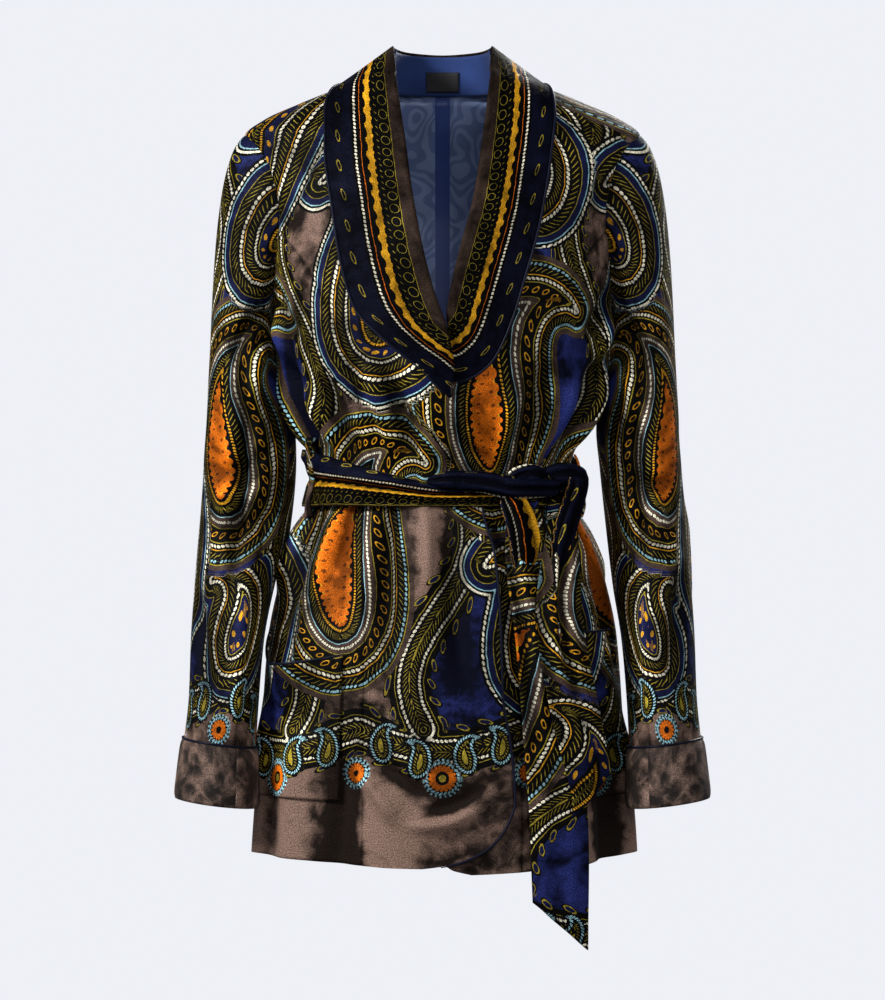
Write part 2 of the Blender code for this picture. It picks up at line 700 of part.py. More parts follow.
def cloth(name, place, columns, rows, finish, wall=VELVET):
    """A wall of cloth: a grid laid on place(u, v) and thickened inwards.

    A narrow column beside each lengthwise seam keeps the wall square to the cloth there.
    """
    grid = bmesh.new()
    bmesh.ops.create_grid(grid, x_segments=columns + 2, y_segments=rows, size=0.5)
    flat = np.array([vertex.co for vertex in grid.verts]) + 0.5
    even = np.linspace(0.0, 1.0, columns + 1)
    stops = np.concatenate([even[:1], [SEAM_COLUMN], even[1:-1], [1 - SEAM_COLUMN], even[-1:]])
    across = np.interp(flat[:, 0] * (columns + 2), np.arange(columns + 3), stops)
    points = place(across, flat[:, 1]) * MM
    for vertex, point in zip(grid.verts, points):
        vertex.co = point
    made = add_object(name, grid, finish)
    thick = made.modifiers.new("wall", "SOLIDIFY")
    thick.thickness = wall * MM
    thick.offset = -1.0
    thick.use_even_offset = True
    return made


def tube(name, points, radius, finish, closed=False):
    """A round cord of piping along a line of points."""
    curve = bpy.data.curves.new(name, "CURVE")
    curve.dimensions = "3D"
    curve.bevel_depth = radius * MM
    curve.bevel_resolution = 1
    curve.use_fill_caps = not closed
    line = curve.splines.new("POLY")
    line.points.add(len(points) - 1)
    for spot, point in zip(line.points, points):
        spot.co = (*(np.asarray(point) * MM), 1.0)
    line.use_cyclic_u = closed
    made = bpy.data.objects.new(name, curve)
    bpy.context.scene.collection.objects.link(made)
    curve.materials.append(material(name, finish))
    return made


def edge_line(place, u, v, inward_u=0.0, inward_v=0.0, beyond=0.0):
    """Points along an edge of a piece, moved past it square to the edge."""
    at = place(u, v)
    along = np.gradient(at, axis=0)
    along /= np.linalg.norm(along, axis=-1, keepdims=True)
    outward = at - place(u + inward_u, v + inward_v)
    outward -= along * np.sum(outward * along, axis=-1, keepdims=True)
    outward /= np.linalg.norm(outward, axis=-1, keepdims=True)
    return at + outward * beyond


def build_body():
    """Back, fronts, side panels and lining."""
    back_rows = len(row_heights(HEM, UNDERARM_TURN)) - 1
    front_rows = len(row_heights(HEM, PANEL_SEAM_TURN)) - 1
    cloth("back", back, 16, back_rows, PRINTED_VELVET)
    cloth("front_right", front_right, 7, front_rows, PRINTED_VELVET)
    cloth("front_left", front_left, 7, front_rows, PRINTED_VELVET)
    for name, side in (("right", -1), ("left", 1)):
        cloth(f"side_panel_{name}", side_panel(side), 4, SKIRT_ROWS + CHEST_ROWS, PRINTED_VELVET)
        cloth(f"pocket_{name}", pocket(side), 5, 5, PRINTED_VELVET)
    cloth("back_lining", back_lining, 12, 14, NAVY_SATIN, LINING)


def build_collar():
    """Collar halves, their piping, the neck facing and the label."""
    share = np.linspace(0.03, 0.99, 22)
    for name, stations, side in (("right", RIGHT_COLLAR, -1), ("left", LEFT_COLLAR, 1)):
        place = collar(stations, side)
        cloth(f"collar_{name}", place, 16, 4, NAVY_VELVET)
        outer = np.full_like(share, 1.0 if side > 0 else 0.0)
        inward = -0.1 if side > 0 else 0.1
        line = edge_line(place, share, outer, inward_v=inward, beyond=PIPING_RADIUS + 2 * SEAM_GAP)
        tube(f"collar_piping_{name}", line, PIPING_RADIUS, NAVY_SATIN)
    cloth("neck_facing", neck_facing, 12, 3, NAVY_SATIN, LINING)
    cloth("label", label, 2, 1, LABEL_SATIN, LABEL_WALL)


def build_front_piping():
    """Piping down the free edge of the right front, from under the belt to the hem."""
    heights = row_heights(HEM, PANEL_SEAM_TURN)
    share = np.linspace(0.0, 1.0, len(heights))[heights < WAIST]
    line = edge_line(
        front_right, np.ones_like(share), share, inward_u=-0.05, beyond=PIPING_RADIUS + 2 * SEAM_GAP
    )
    tube("front_piping", line, PIPING_RADIUS, NAVY_SATIN)


def build_sleeves():
    """Upper and under sleeves, cuffs and their piping."""
    for name, side in (("right", -1), ("left", 1)):
        upper = sleeve(side, BACK_SLEEVE_SEAM - 360.0, FRONT_SLEEVE_SEAM)
        under = sleeve(side, FRONT_SLEEVE_SEAM, BACK_SLEEVE_SEAM)
        cloth(f"upper_sleeve_{name}", upper, 12, 11, PRINTED_VELVET)
        cloth(f"under_sleeve_{name}", under, 6, 11, PRINTED_VELVET)
        cloth(f"cuff_{name}", cuff(side), 18, 2, BROWN_VELVET)
        around = np.linspace(0.0, 360.0, 18, endpoint=False)
        height = np.full_like(around, CUFF_TOP + PIPING_RADIUS + SEAM_GAP)
        line = sleeve_tube(around, height, side, PIPING_RADIUS + 2 * SEAM_GAP)
        tube(f"cuff_piping_{name}", line, PIPING_RADIUS, NAVY_SATIN, closed=True)


def build_belt():
    """Belt, its knot and hanging ends, and the loops that carry it."""
    cloth("belt_right", belt_right, 30, 2, PRINTED_VELVET)
    cloth("belt_left", belt_left, 5, 2, PRINTED_VELVET)
    knot = bmesh.new()
    bmesh.ops.create_uvsphere(knot, u_segments=14, v_segments=8, radius=1.0)
    centre = on_body(KNOT_ANGLE, KNOT_HEIGHT, KNOT_LIFT)
    turn = math.radians(KNOT_ANGLE)
    bmesh.ops.scale(knot, vec=np.array(KNOT_HALF) * MM, verts=knot.verts)
    bmesh.ops.rotate(knot, matrix=Matrix.Rotation(turn, 3, "Z"), verts=knot.verts)
    bmesh.ops.translate(knot, vec=centre * MM, verts=knot.verts)
    add_object("belt_knot", knot, PRINTED_VELVET)
    cloth("belt_tail_long", belt_tail(LONG_TAIL, LONG_TAIL_SLANT), 2, 10, PRINTED_VELVET)
    cloth("belt_tail_short", belt_tail(SHORT_TAIL, SHORT_TAIL_SLANT), 2, 8, PRINTED_VELVET)
    for name, angle in (("right", RIGHT_LOOP_ANGLE), ("left", LEFT_LOOP_ANGLE)):
        cloth(f"belt_loop_{name}", belt_loop(angle), 1, 10, PRINTED_VELVET, LOOP_WALL)


def main():
    """Clears the scene and builds the blazer."""
    for item in list(bpy.data.objects):
        bpy.data.objects.remove(item)
    build_body()
    build_collar()
    build_front_piping()
    build_sleeves()
    build_belt()


main()
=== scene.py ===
"""Looks of the wrap blazer: velvet shells with their folds, print, piping, lining and tied belt.

Tables and sizes are in millimetres in the garment's own frame: +Z up, the front facing -Y, the
origin between the shoulders. Right and left are the wearer's, so the right side is -X.
"""

from __future__ import annotations

import logging
import math
from collections.abc import Callable, Sequence
from dataclasses import dataclass, field
from enum import Enum
from functools import partial
from typing import NamedTuple

import bmesh
import bpy
import numpy as np
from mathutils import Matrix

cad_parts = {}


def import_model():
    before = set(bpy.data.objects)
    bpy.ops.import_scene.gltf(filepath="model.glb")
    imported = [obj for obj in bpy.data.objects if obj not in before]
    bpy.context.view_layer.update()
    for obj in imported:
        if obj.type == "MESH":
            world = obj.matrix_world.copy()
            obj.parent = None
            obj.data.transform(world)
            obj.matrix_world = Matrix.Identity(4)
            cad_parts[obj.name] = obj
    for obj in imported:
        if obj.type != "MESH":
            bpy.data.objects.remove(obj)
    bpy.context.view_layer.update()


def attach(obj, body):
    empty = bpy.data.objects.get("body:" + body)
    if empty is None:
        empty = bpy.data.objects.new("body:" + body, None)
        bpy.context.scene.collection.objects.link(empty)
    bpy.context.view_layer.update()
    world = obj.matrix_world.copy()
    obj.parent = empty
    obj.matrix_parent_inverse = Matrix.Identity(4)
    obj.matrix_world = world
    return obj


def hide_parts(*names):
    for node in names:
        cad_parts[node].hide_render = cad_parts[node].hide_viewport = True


MM = 0.001
BODY = "root"
# Crease depth, in millimetres, at which the painted crease shade and highlight are full.
DEEP_FOLD = 6.0
FOLD_FADE = 0.35
BATCH = 6000
LOG = logging.getLogger("wrap_blazer")
Array = np.ndarray
Socket = bpy.types.NodeSocket


class Side(Enum):
    """The wearer's two sides."""

    RIGHT = -1
    LEFT = 1

    @property
    def word(self) -> str:
        """The side's name, as the nodes carry it."""
        return self.name.lower()


class Slot(Enum):
    """Material slots of the record."""

    PRINTED = "printed_velvet"
    BROWN = "brown_velvet"
    NAVY = "navy_velvet"
    SATIN = "navy_satin"
    LABEL = "label_satin"


class Laid(NamedTuple):
    """Points of a cloth, with the cloth's own two coordinates at each of them."""

    points: Array
    across: Array
    along: Array


Form = Callable[[Array, Array], Laid]
Depth = Callable[[Array, Array], Array]


class Fold(NamedTuple):
    """A crease from one point of the cloth to another: a ridge, or a trough where depth is negative."""

    start: tuple[float, float]
    end: tuple[float, float]
    bow: float
    width: float
    depth: float
    open_end: bool = False


class Section(NamedTuple):
    """A level section of the figure."""

    height: float
    half_width: float
    front: float
    back: float


class Edge(NamedTuple):
    """How far across the body a cut edge reaches at a height."""

    height: float
    across: float


class CollarStation(NamedTuple):
    """A line across the collar from its roll to its outer edge; no depth means that it lies on the chest."""

    roll_x: float
    roll_y: float | None
    roll_z: float
    edge_x: float
    edge_y: float | None
    edge_z: float
    lift: float
    rise: float


class Stand(NamedTuple):
    """A level section of the collar stand."""

    height: float
    half_width: float
    back: float


class SleeveSection(NamedTuple):
    """A section of a sleeve, with the fall of its inner side for each unit of width."""

    height: float
    middle_x: float
    middle_y: float
    half_width: float
    half_depth: float
    tilt: float


class BeltTop(NamedTuple):
    """How far the belt's top edge has dropped at an angle round the body."""

    angle: float
    drop: float


class TailStation(NamedTuple):
    """A line across a hanging end of the belt."""

    height: float
    middle: float
    half_width: float
    lift: float


def rows_of(kind: type, *rows: tuple) -> tuple:
    """Rows of a table, as named tuples of one kind."""
    return tuple(kind(*row) for row in rows)


def glide(keys: Sequence[float], values: Sequence[float], at: Array) -> Array:
    """Reads a curve through points that never overshoots them.

    Args:
        keys: Rising or falling places of the points.
        values: The points' values.
        at: Where to read.

    Returns:
        The values there.
    """
    order = np.argsort(keys)
    key = np.asarray(keys, float)[order]
    value = np.asarray(values, float)[order]
    spans = np.diff(key)
    slopes = np.diff(value) / spans
    tangents = np.concatenate([slopes[:1], np.zeros(len(key) - 2), slopes[-1:]])
    same_way = slopes[:-1] * slopes[1:] > 0
    pair = np.where(same_way, slopes[:-1] + slopes[1:], 1.0)
    tangents[1:-1] = np.where(same_way, 2 * slopes[:-1] * slopes[1:] / pair, 0.0)
    at = np.clip(np.asarray(at, float), key[0], key[-1])
    span = np.clip(np.searchsorted(key, at) - 1, 0, len(key) - 2)
    share = (at - key[span]) / spans[span]
    start_slope = tangents[span] * spans[span]
    return hermite(share, value[span], start_slope, value[span + 1], tangents[span + 1] * spans[span])


def read(table: Sequence[tuple], column: str, at: Array) -> Array:
    """Reads one column of a table, whose first column is the key, on a smooth curve."""
    return glide([row[0] for row in table], [getattr(row, column) for row in table], at)


def hermite(share: Array, start: Array, start_slope: Array, end: Array, end_slope: Array) -> Array:
    """A cubic from start to end with the given slopes.

    Args:
        share: Share of the way, 0 to 1.
        start: Value at the start.
        start_slope: Slope at the start.
        end: Value at the end.
        end_slope: Slope at the end.

    Returns:
        The values between.
    """
    square, cube = share**2, share**3
    leaving = (2 * cube - 3 * square + 1) * start + (cube - 2 * square + share) * start_slope
    return leaving + (3 * square - 2 * cube) * end + (cube - square) * end_slope


def clamp(share: Array) -> Array:
    """A share held between 0 and 1."""
    return np.clip(share, 0.0, 1.0)


def steps(points: Array, axis: int = 0) -> Array:
    """Distances between neighbouring points, along one axis of their grid."""
    return np.linalg.norm(np.diff(points, axis=axis), axis=-1)


def ease(value: Array, low: float, high: float) -> Array:
    """0 below low, 1 above high, smooth between them."""
    share = clamp((np.asarray(value, float) - low) / (high - low))
    return share * share * (3 - 2 * share)


def mix(start: Array, end: Array, share: Array) -> Array:
    """The value that lies a share of the way from start to end."""
    return start + (end - start) * share


def unit(vectors: Array) -> Array:
    """Vectors scaled to length one."""
    return vectors / np.maximum(np.linalg.norm(vectors, axis=-1, keepdims=True), 1e-9)


def creased(folds: Sequence[Fold], across: Array, along: Array) -> Array:
    """How far the folds move the cloth out at each point.

    Args:
        folds: The creases, in the cloth's own coordinates.
        across: First coordinate of the points.
        along: Second coordinate of the points.

    Returns:
        The distance outwards, in millimetres.
    """
    total = np.zeros_like(across)
    for fold in folds:
        run = np.subtract(fold.end, fold.start)
        length = math.hypot(*run)
        share = ((across - fold.start[0]) * run[0] + (along - fold.start[1]) * run[1]) / length**2
        aside = ((across - fold.start[0]) * run[1] - (along - fold.start[1]) * run[0]) / length
        aside = aside - fold.bow * np.sin(math.pi * clamp(share))
        fade = ease(share, 0.0, FOLD_FADE) * (1.0 if fold.open_end else ease(1 - share, 0.0, FOLD_FADE))
        total += fold.depth * fade * np.exp(-((aside / fold.width) ** 2))
    return total


def linear(hex_colour: str) -> tuple[float, float, float, float]:
    """Turns an sRGB hex colour into the linear colour that shaders take."""
    parts = [int(hex_colour[i : i + 2], 16) / 255 for i in (1, 3, 5)]
    return (*(p / 12.92 if p <= 0.04045 else ((p + 0.055) / 1.055) ** 2.4 for p in parts), 1.0)


@dataclass(frozen=True)
class Figure:
    """The general figure that the cloth hangs on, as level superellipse sections."""

    squareness: float = 2.2
    print_level: float = -560.0
    neck: float = 20.0
    sections: tuple[Section, ...] = rows_of(
        Section,
        (-800, 178, 131, 130), (-704, 175, 129, 128), (-600, 169, 123, 126), (-500, 162, 117, 119),
        (-446, 151, 111, 108), (-408, 138, 103, 96), (-380, 125, 96, 89), (-352, 117.5, 91, 84),
        (-330, 121.5, 95, 86), (-300, 138, 106, 93), (-276, 147, 114, 99), (-220, 155, 122, 107),
        (-160, 160, 119, 110), (-110, 164, 106, 107), (-70, 175, 88, 97), (-34, 184, 68, 82), (-19, 166, 60, 75),
        (-4, 133, 53, 69), (11, 96, 47, 63), (20, 75, 44, 60),
    )

    def surface(self, angle: Array, height: Array) -> Array:
        """A point of the figure, at an angle in degrees from the front towards the left.

        Args:
            angle: Angles of the points, in degrees.
            height: Heights of the points.

        Returns:
            The points.
        """
        turn = np.radians(angle)
        across, forward = np.sin(turn), np.cos(turn)
        depth = np.where(forward > 0, read(self.sections, "front", height), read(self.sections, "back", height))
        wide = np.abs(across) / read(self.sections, "half_width", height)
        reach = (wide**self.squareness + (np.abs(forward) / depth) ** self.squareness) ** (-1 / self.squareness)
        return np.stack([reach * across, -reach * forward, height + 0 * reach], axis=-1)

    def place(self, angle: Array, height: Array, lift: Array | float = 0.0) -> Array:
        """A point of the figure moved out along the surface's normal.

        Args:
            angle: Angles of the points, in degrees.
            height: Heights of the points.
            lift: Distance along the normal.

        Returns:
            The points.
        """
        angle, height, lift = np.broadcast_arrays(*(np.asarray(v, float) for v in (angle, height, lift)))
        step = 0.5
        around = self.surface(angle + step, height) - self.surface(angle - step, height)
        upward = self.surface(angle, height + step) - self.surface(angle, height - step)
        return self.surface(angle, height) + unit(np.cross(around, upward)) * lift[..., None]

    def angle_at(self, across: Array, height: Array) -> Array:
        """The angle at which the front of the figure lies this far across.

        Args:
            across: Distance from the middle line.
            height: Heights of the points.

        Returns:
            Angles in degrees.
        """
        share = np.clip(np.abs(across) / read(self.sections, "half_width", height), 0.0, 0.9999)
        depth = read(self.sections, "front", height) * (1 - share**self.squareness) ** (1 / self.squareness)
        return np.degrees(np.arctan2(across, depth))

    def clear(self, point: Array, lift: Array) -> Array:
        """Points pushed out along the figure's normal until they stand this far off it.

        Args:
            point: The points.
            lift: The least distance off the figure.

        Returns:
            The points, moved where needed.
        """
        turn = np.degrees(np.arctan2(point[..., 0], -point[..., 1]))
        height = np.minimum(point[..., 2], self.neck - 1.0)
        surface = self.surface(turn, height)
        normal = self.place(turn, height, 1.0) - surface
        outward = unit(point[..., :2])
        reach = np.linalg.norm(point[..., :2], axis=-1) - np.linalg.norm(surface[..., :2], axis=-1)
        stands_off = reach * np.sum(normal[..., :2] * outward, axis=-1)
        push = np.maximum(lift - stands_off, 0.0) * (point[..., 2] < self.neck)
        return point + normal * push[..., None]

    def girth(self) -> float:
        """Length round the hips, where the print has its true width."""
        return float(self.around(np.array(360.0)))

    def around(self, angle: Array) -> Array:
        """Length round the hips from the front to an angle, so that the print gathers at the waist.

        Args:
            angle: Angles of the points, in degrees.

        Returns:
            Lengths in millimetres.
        """
        turns = np.linspace(0.0, 360.0, 721)
        ring = self.surface(turns, np.full_like(turns, self.print_level))
        lengths = np.concatenate([[0.0], np.cumsum(steps(ring))])
        return np.sign(angle) * np.interp(np.abs(angle), turns, lengths)


FIGURE = Figure()


class Motif(NamedTuple):
    """An outline of the print, with the kind of motif it bounds."""

    outline: Array
    kind: int


def nearest(line: Array, points: Array) -> tuple[Array, Array]:
    """Distance from points to a line, and how far along it the nearest place lies.

    Args:
        line: Corners of the line, one row each.
        points: The points, one row each.

    Returns:
        Distances and lengths along the line.
    """
    starts, runs = line[:-1], np.diff(line, axis=0)
    lengths = np.linalg.norm(runs, axis=1)
    before = np.concatenate([[0.0], np.cumsum(lengths)[:-1]])
    distance, along = np.empty(len(points)), np.empty(len(points))
    for low in range(0, len(points), BATCH):
        some = points[low : low + BATCH]
        offset = some[:, None, :] - starts[None]
        share = clamp(np.sum(offset * runs[None], axis=2) / lengths**2)
        apart = np.linalg.norm(offset - share[..., None] * runs[None], axis=2)
        best = np.argmin(apart, axis=1)
        rows = np.arange(len(some))
        distance[low : low + BATCH] = apart[rows, best]
        along[low : low + BATCH] = before[best] + share[rows, best] * lengths[best]
    return distance, along


def inside(outline: Array, points: Array) -> Array:
    """Which points lie inside a closed outline.

    Args:
        outline: Corners of the outline, the first repeated last.
        points: The points, one row each.

    Returns:
        True for the points inside.
    """
    x, y = points[:, 0, None], points[:, 1, None]
    x0, y0 = outline[:-1].T
    x1, y1 = outline[1:].T
    crosses = (y0 > y) != (y1 > y)
    level = np.where(y1 == y0, 1.0, y1 - y0)
    return np.sum(crosses & (x < (x1 - x0) * (y - y0) / level + x0), axis=1) % 2 == 1


class Spot(NamedTuple):
    """Height of a drop in its column, and its size beside a full one."""

    height: float
    scale: float


@dataclass(frozen=True)
class Paisley:
    """Curled drops in staggered columns, vines that weave between them, and a scalloped border."""

    column: float
    first_column: int
    last_column: int
    border: float
    even: tuple[Spot, ...]
    odd: tuple[Spot, ...]
    length: float = 268.0
    width: float = 112.0
    curl: float = 2.7
    lean: float = 0.42
    vine_turn: float = 268.0
    vine_swing: float = 30.0
    scallop: float = 20.0
    rosette: float = 18.0
    leaf: float = 0.17
    far: float = 99.0
    reach: float = 46.0
    band: float = 28.0
    base_share: float = 0.32
    middle_share: float = 0.36
    vine_top: float = 80.0
    line_steps: tuple[float, float] = (7.0, 5.0)

    def teardrop(self, middle: tuple[float, float], scale: float, way: int) -> Array:
        """Closed outline of a drop whose tip curls to one side, from the tip round to the tip.

        Args:
            middle: Where the drop lies.
            scale: Its size beside a full one.
            way: 1 or -1, the side to which its tip curls.

        Returns:
            Corners of the outline.
        """
        share = np.linspace(0.0, 1.0, 56)
        bend = way * (self.curl * share**2.4 - self.lean)
        step = self.length / len(share)
        spine = np.cumsum(np.stack([np.sin(bend), np.cos(bend)], axis=1) * step, axis=0)
        base = clamp(1 - share / self.base_share)
        taper = clamp((share - self.base_share) / (1 - self.base_share))
        radius = self.width / 2 * np.sqrt(1 - base**2) * np.cos(math.pi / 2 * taper) ** 1.25
        normal = np.stack([np.cos(bend), -np.sin(bend)], axis=1) * radius[:, None]
        loop = np.concatenate([(spine - normal)[::-1], (spine + normal)[1:]])
        return (loop - np.array([0.0, self.middle_share * self.length])) * scale + np.array(middle)

    def circle(self, middle: tuple[float, float], radius: float) -> Array:
        """Closed outline of a rosette."""
        turn = np.linspace(0.0, 2 * math.pi, 49)
        return np.stack([np.cos(turn), np.sin(turn)], axis=1) * radius + np.array(middle)

    def vine(self, column: int, along: Array) -> Array:
        """Where the vine to the right of a column lies at each height."""
        turn = 2 * math.pi * along / self.vine_turn + math.pi * (column % 2)
        return (column + 1) * self.column + self.vine_swing * np.cos(turn)

    def border_line(self, across: Array) -> Array:
        """Height of the scalloped edge above the plain border."""
        return self.border - self.scallop * np.abs(np.cos(math.pi * across / self.column))

    def motifs(self) -> list[Motif]:
        """All drops, rosettes and leaves.

        Returns:
            The motifs, column by column.
        """
        found = []
        for column in range(self.first_column, self.last_column + 1):
            middle = (column + 0.5) * self.column
            for row, spot in enumerate(self.odd if column % 2 else self.even):
                way = 1 if (column + row) % 2 else -1
                found.append(Motif(self.teardrop((middle, spot.height), spot.scale, way), (column + row) % 2))
            for beside, below, size in ((0.0, -44.0, 0.78), (0.5, -40.0, 0.62)):
                flower = ((column + beside) * self.column, self.border + below)
                found.append(Motif(self.circle(flower, size * self.rosette), 2))
            for beside, below, way in ((0.16, -24.0, 1), (0.3, -16.0, -1), (0.68, -14.0, 1), (0.84, -28.0, -1)):
                tip = ((column + beside) * self.column, self.border + below)
                found.append(Motif(self.teardrop(tip, self.leaf, way), 3))
        return found

    def lines(self) -> list[Array]:
        """The vines and the border's edge.

        Returns:
            Corners of each line.
        """
        along = np.arange(self.border, self.vine_top, self.line_steps[0])
        columns = range(self.first_column - 1, self.last_column + 1)
        vines = [np.stack([self.vine(column, along), along], axis=1) for column in columns]
        across = np.arange(self.first_column * self.column, (self.last_column + 1) * self.column, self.line_steps[1])
        return [*vines, np.stack([across, self.border_line(across)], axis=1)]

    def ground(self, across: Array, along: Array) -> Array:
        """0 on the brown ground and 1 on the navy one, column by column above the border.

        Args:
            across: First coordinate of the points.
            along: Second coordinate of the points.

        Returns:
            The ground's number at each point.
        """
        columns = range(self.first_column - 1, self.last_column + 1)
        passed = sum((across > self.vine(column, along)).astype(int) for column in columns)
        return (passed + self.first_column) % 2 * (along > self.border_line(across))

    def fields(self, across: Array, along: Array) -> dict[str, Array]:
        """Distance to the nearest outline, length along it and kind, for each layer of the print.

        Args:
            across: First coordinate of the cloth's points.
            along: Second coordinate of the cloth's points.

        Returns:
            Three numbers a point for the vine, the drops and the rosettes.
        """
        points = np.stack([across.ravel(), along.ravel()], axis=1)
        layers = {name: np.tile([self.far, 0.0, 0.0], (len(points), 1)) for name in ("vine", "drop", "rosette")}
        for line in self.lines():
            self._take(layers["vine"], line, points, None, 0)
        for outline, kind in self.motifs():
            self._take(layers["rosette" if kind > 1 else "drop"], outline, points, outline, kind)
        layers["vine"][:, 2] = self.ground(points[:, 0], points[:, 1])
        return layers

    def _take(self, layer: Array, line: Array, points: Array, outline: Array | None, kind: int) -> None:
        """Lets a motif claim the points nearer to it than to the layer's others, but none of their bands.

        Args:
            layer: Rows of the layer, changed in place.
            line: Corners of the motif's line.
            points: The points, one row each.
            outline: The same line, where it is closed.
            kind: The motif's kind.
        """
        low, high = line.min(axis=0) - self.reach, line.max(axis=0) + self.reach
        near = np.flatnonzero(np.all((points > low) & (points < high), axis=1))
        if not len(near):
            return
        distance, along = nearest(line, points[near])
        if outline is not None:
            distance = np.where(inside(outline, points[near]), -distance, distance)
        closer = distance < layer[near, 0]
        if outline is not None and kind < 2:
            closer &= layer[near, 0] > self.band
        layer[near[closer]] = np.stack([distance, along, np.full_like(along, kind)], axis=1)[closer]


BODY_PRINT = Paisley(
    column=FIGURE.girth() / 6,
    first_column=-4,
    last_column=6,
    border=-578.0,
    even=rows_of(Spot, (-52, 0.7), (-288, 1), (-487, 0.62)),
    odd=rows_of(Spot, (30, 0.5), (-168, 0.98), (-428, 1.04)),
)
SLEEVE_RADIUS = 46.0
SLEEVE_PRINT = Paisley(
    column=math.pi * SLEEVE_RADIUS,
    first_column=-2,
    last_column=2,
    border=-540.0,
    even=rows_of(Spot, (-96, 0.8), (-318, 1), (-486, 0.46)),
    odd=rows_of(Spot, (-200, 0.92), (-430, 0.92)),
)


class Bench:
    """A material under construction."""

    def __init__(self, name: str) -> None:
        """Starts a material with a bare node tree.

        Args:
            name: The material's name.
        """
        self.material = bpy.data.materials.new(name)
        self.material.use_nodes = True
        self.tree = self.material.node_tree
        self.tree.nodes.clear()

    def add(
        self, kind: str, links: dict | None = None, out: int | str = 0, ramp: Sequence = (), **settings: object
    ) -> Socket:
        """Adds a node with its settings and links.

        Args:
            kind: The node's type, without its ShaderNode prefix.
            links: Sockets to link, or values to set, by the socket's name or number.
            out: The output to hand back.
            ramp: Stops of a colour ramp, each a place and a colour with its alpha.
            settings: Attributes to set on the node.

        Returns:
            The output socket, or the node itself where it has none.
        """
        made = self.tree.nodes.new(f"ShaderNode{kind}")
        for name, value in settings.items():
            setattr(made, name, value)
        for spot, (place, colour) in enumerate(ramp):
            stops = made.color_ramp.elements
            stop = stops[spot] if spot < 2 else stops.new(place)
            stop.position = place
            stop.color = colour
        if ramp:
            made.color_ramp.interpolation = "CONSTANT"
        for socket, value in (links or {}).items():
            if isinstance(value, bpy.types.NodeSocket):
                self.tree.links.new(value, made.inputs[socket])
            else:
                made.inputs[socket].default_value = value
        return made.outputs[out] if len(made.outputs) else made


class Stop(NamedTuple):
    """Where a stripe of a motif begins, and its colour; none leaves what lies below."""

    at: float
    colour: str | None


class Row(NamedTuple):
    """A row of stitch-like marks along a motif's outline."""

    at: float
    half_width: float
    pitch: float
    length: float
    slant: float
    colour: str


BLACK = "#050404"
UMBER = "#42342d"
NAVY = "#0f1436"
IVORY = "#d6cfb8"
GOLD = "#c08a1c"
OLIVE = "#8a7a26"
ORANGE = "#c66211"
RUST = "#6d3510"
ICE = "#86adb6"
INK = "#070918"
BARK = "#2e231d"


@dataclass(frozen=True)
class PrintLayer:
    """One layer of a print, drawn by distance from outlines that an attribute holds."""

    attribute: str
    stripes: tuple[Stop, ...]
    rows: tuple[Row, ...] = ()
    kind: int | None = None
    both_sides: bool = False

    def draw(self, bench: Bench, below: Socket, wobble: Socket) -> Socket:
        """Draws the layer over a colour.

        Args:
            bench: The material under construction.
            below: The colour so far.
            wobble: Small unevenness of the printed lines, in millimetres.

        Returns:
            The colour with this layer on it.
        """
        add = bench.add
        field_ = add("Attribute", attribute_name=self.attribute, attribute_type="GEOMETRY", out="Vector")
        parts = add("SeparateXYZ", {0: field_}).node.outputs
        distance = add("Math", {0: parts[0], 1: wobble}, operation="ADD")
        if self.both_sides:
            distance = add("Math", {0: distance}, operation="ABSOLUTE")
        shown = 1.0
        if self.kind is not None:
            shown = add("Math", {0: parts[2], 1: float(self.kind), 2: 0.3}, operation="COMPARE")
        low, high = self.stripes[0].at, self.stripes[-1].at + 1.0
        place = add("MapRange", {0: distance, 1: low, 2: high})
        stops = [
            ((stop.at - low) / (high - low), (*linear(stop.colour or BLACK)[:3], float(stop.colour is not None)))
            for stop in self.stripes
        ]
        stripes = add("ValToRGB", {0: place}, ramp=stops)
        cover = add("Math", {0: stripes.node.outputs[1], 1: shown}, operation="MULTIPLY")
        colour = add("Mix", {0: cover, 6: below, 7: stripes}, out=2, data_type="RGBA")
        for row in self.rows:
            run = add("Math", {0: distance, 1: row.slant, 2: parts[1]}, operation="MULTIPLY_ADD")
            along = add("Math", {0: run, 1: row.pitch / 2}, operation="PINGPONG")
            along = add("Math", {0: along, 1: 2 / row.length}, operation="MULTIPLY")
            scaled = {0: distance, 1: 1 / row.half_width, 2: -row.at / row.half_width}
            aside = add("Math", scaled, operation="MULTIPLY_ADD")
            spot = add("CombineXYZ", {0: along, 1: aside})
            size = add("VectorMath", {0: spot}, out="Value", operation="LENGTH")
            mark = add("Math", {0: size, 1: 1.0}, operation="LESS_THAN")
            mark = add("Math", {0: mark, 1: shown}, operation="MULTIPLY")
            colour = add("Mix", {0: mark, 6: colour, 7: linear(row.colour)}, out=2, data_type="RGBA")
        return colour


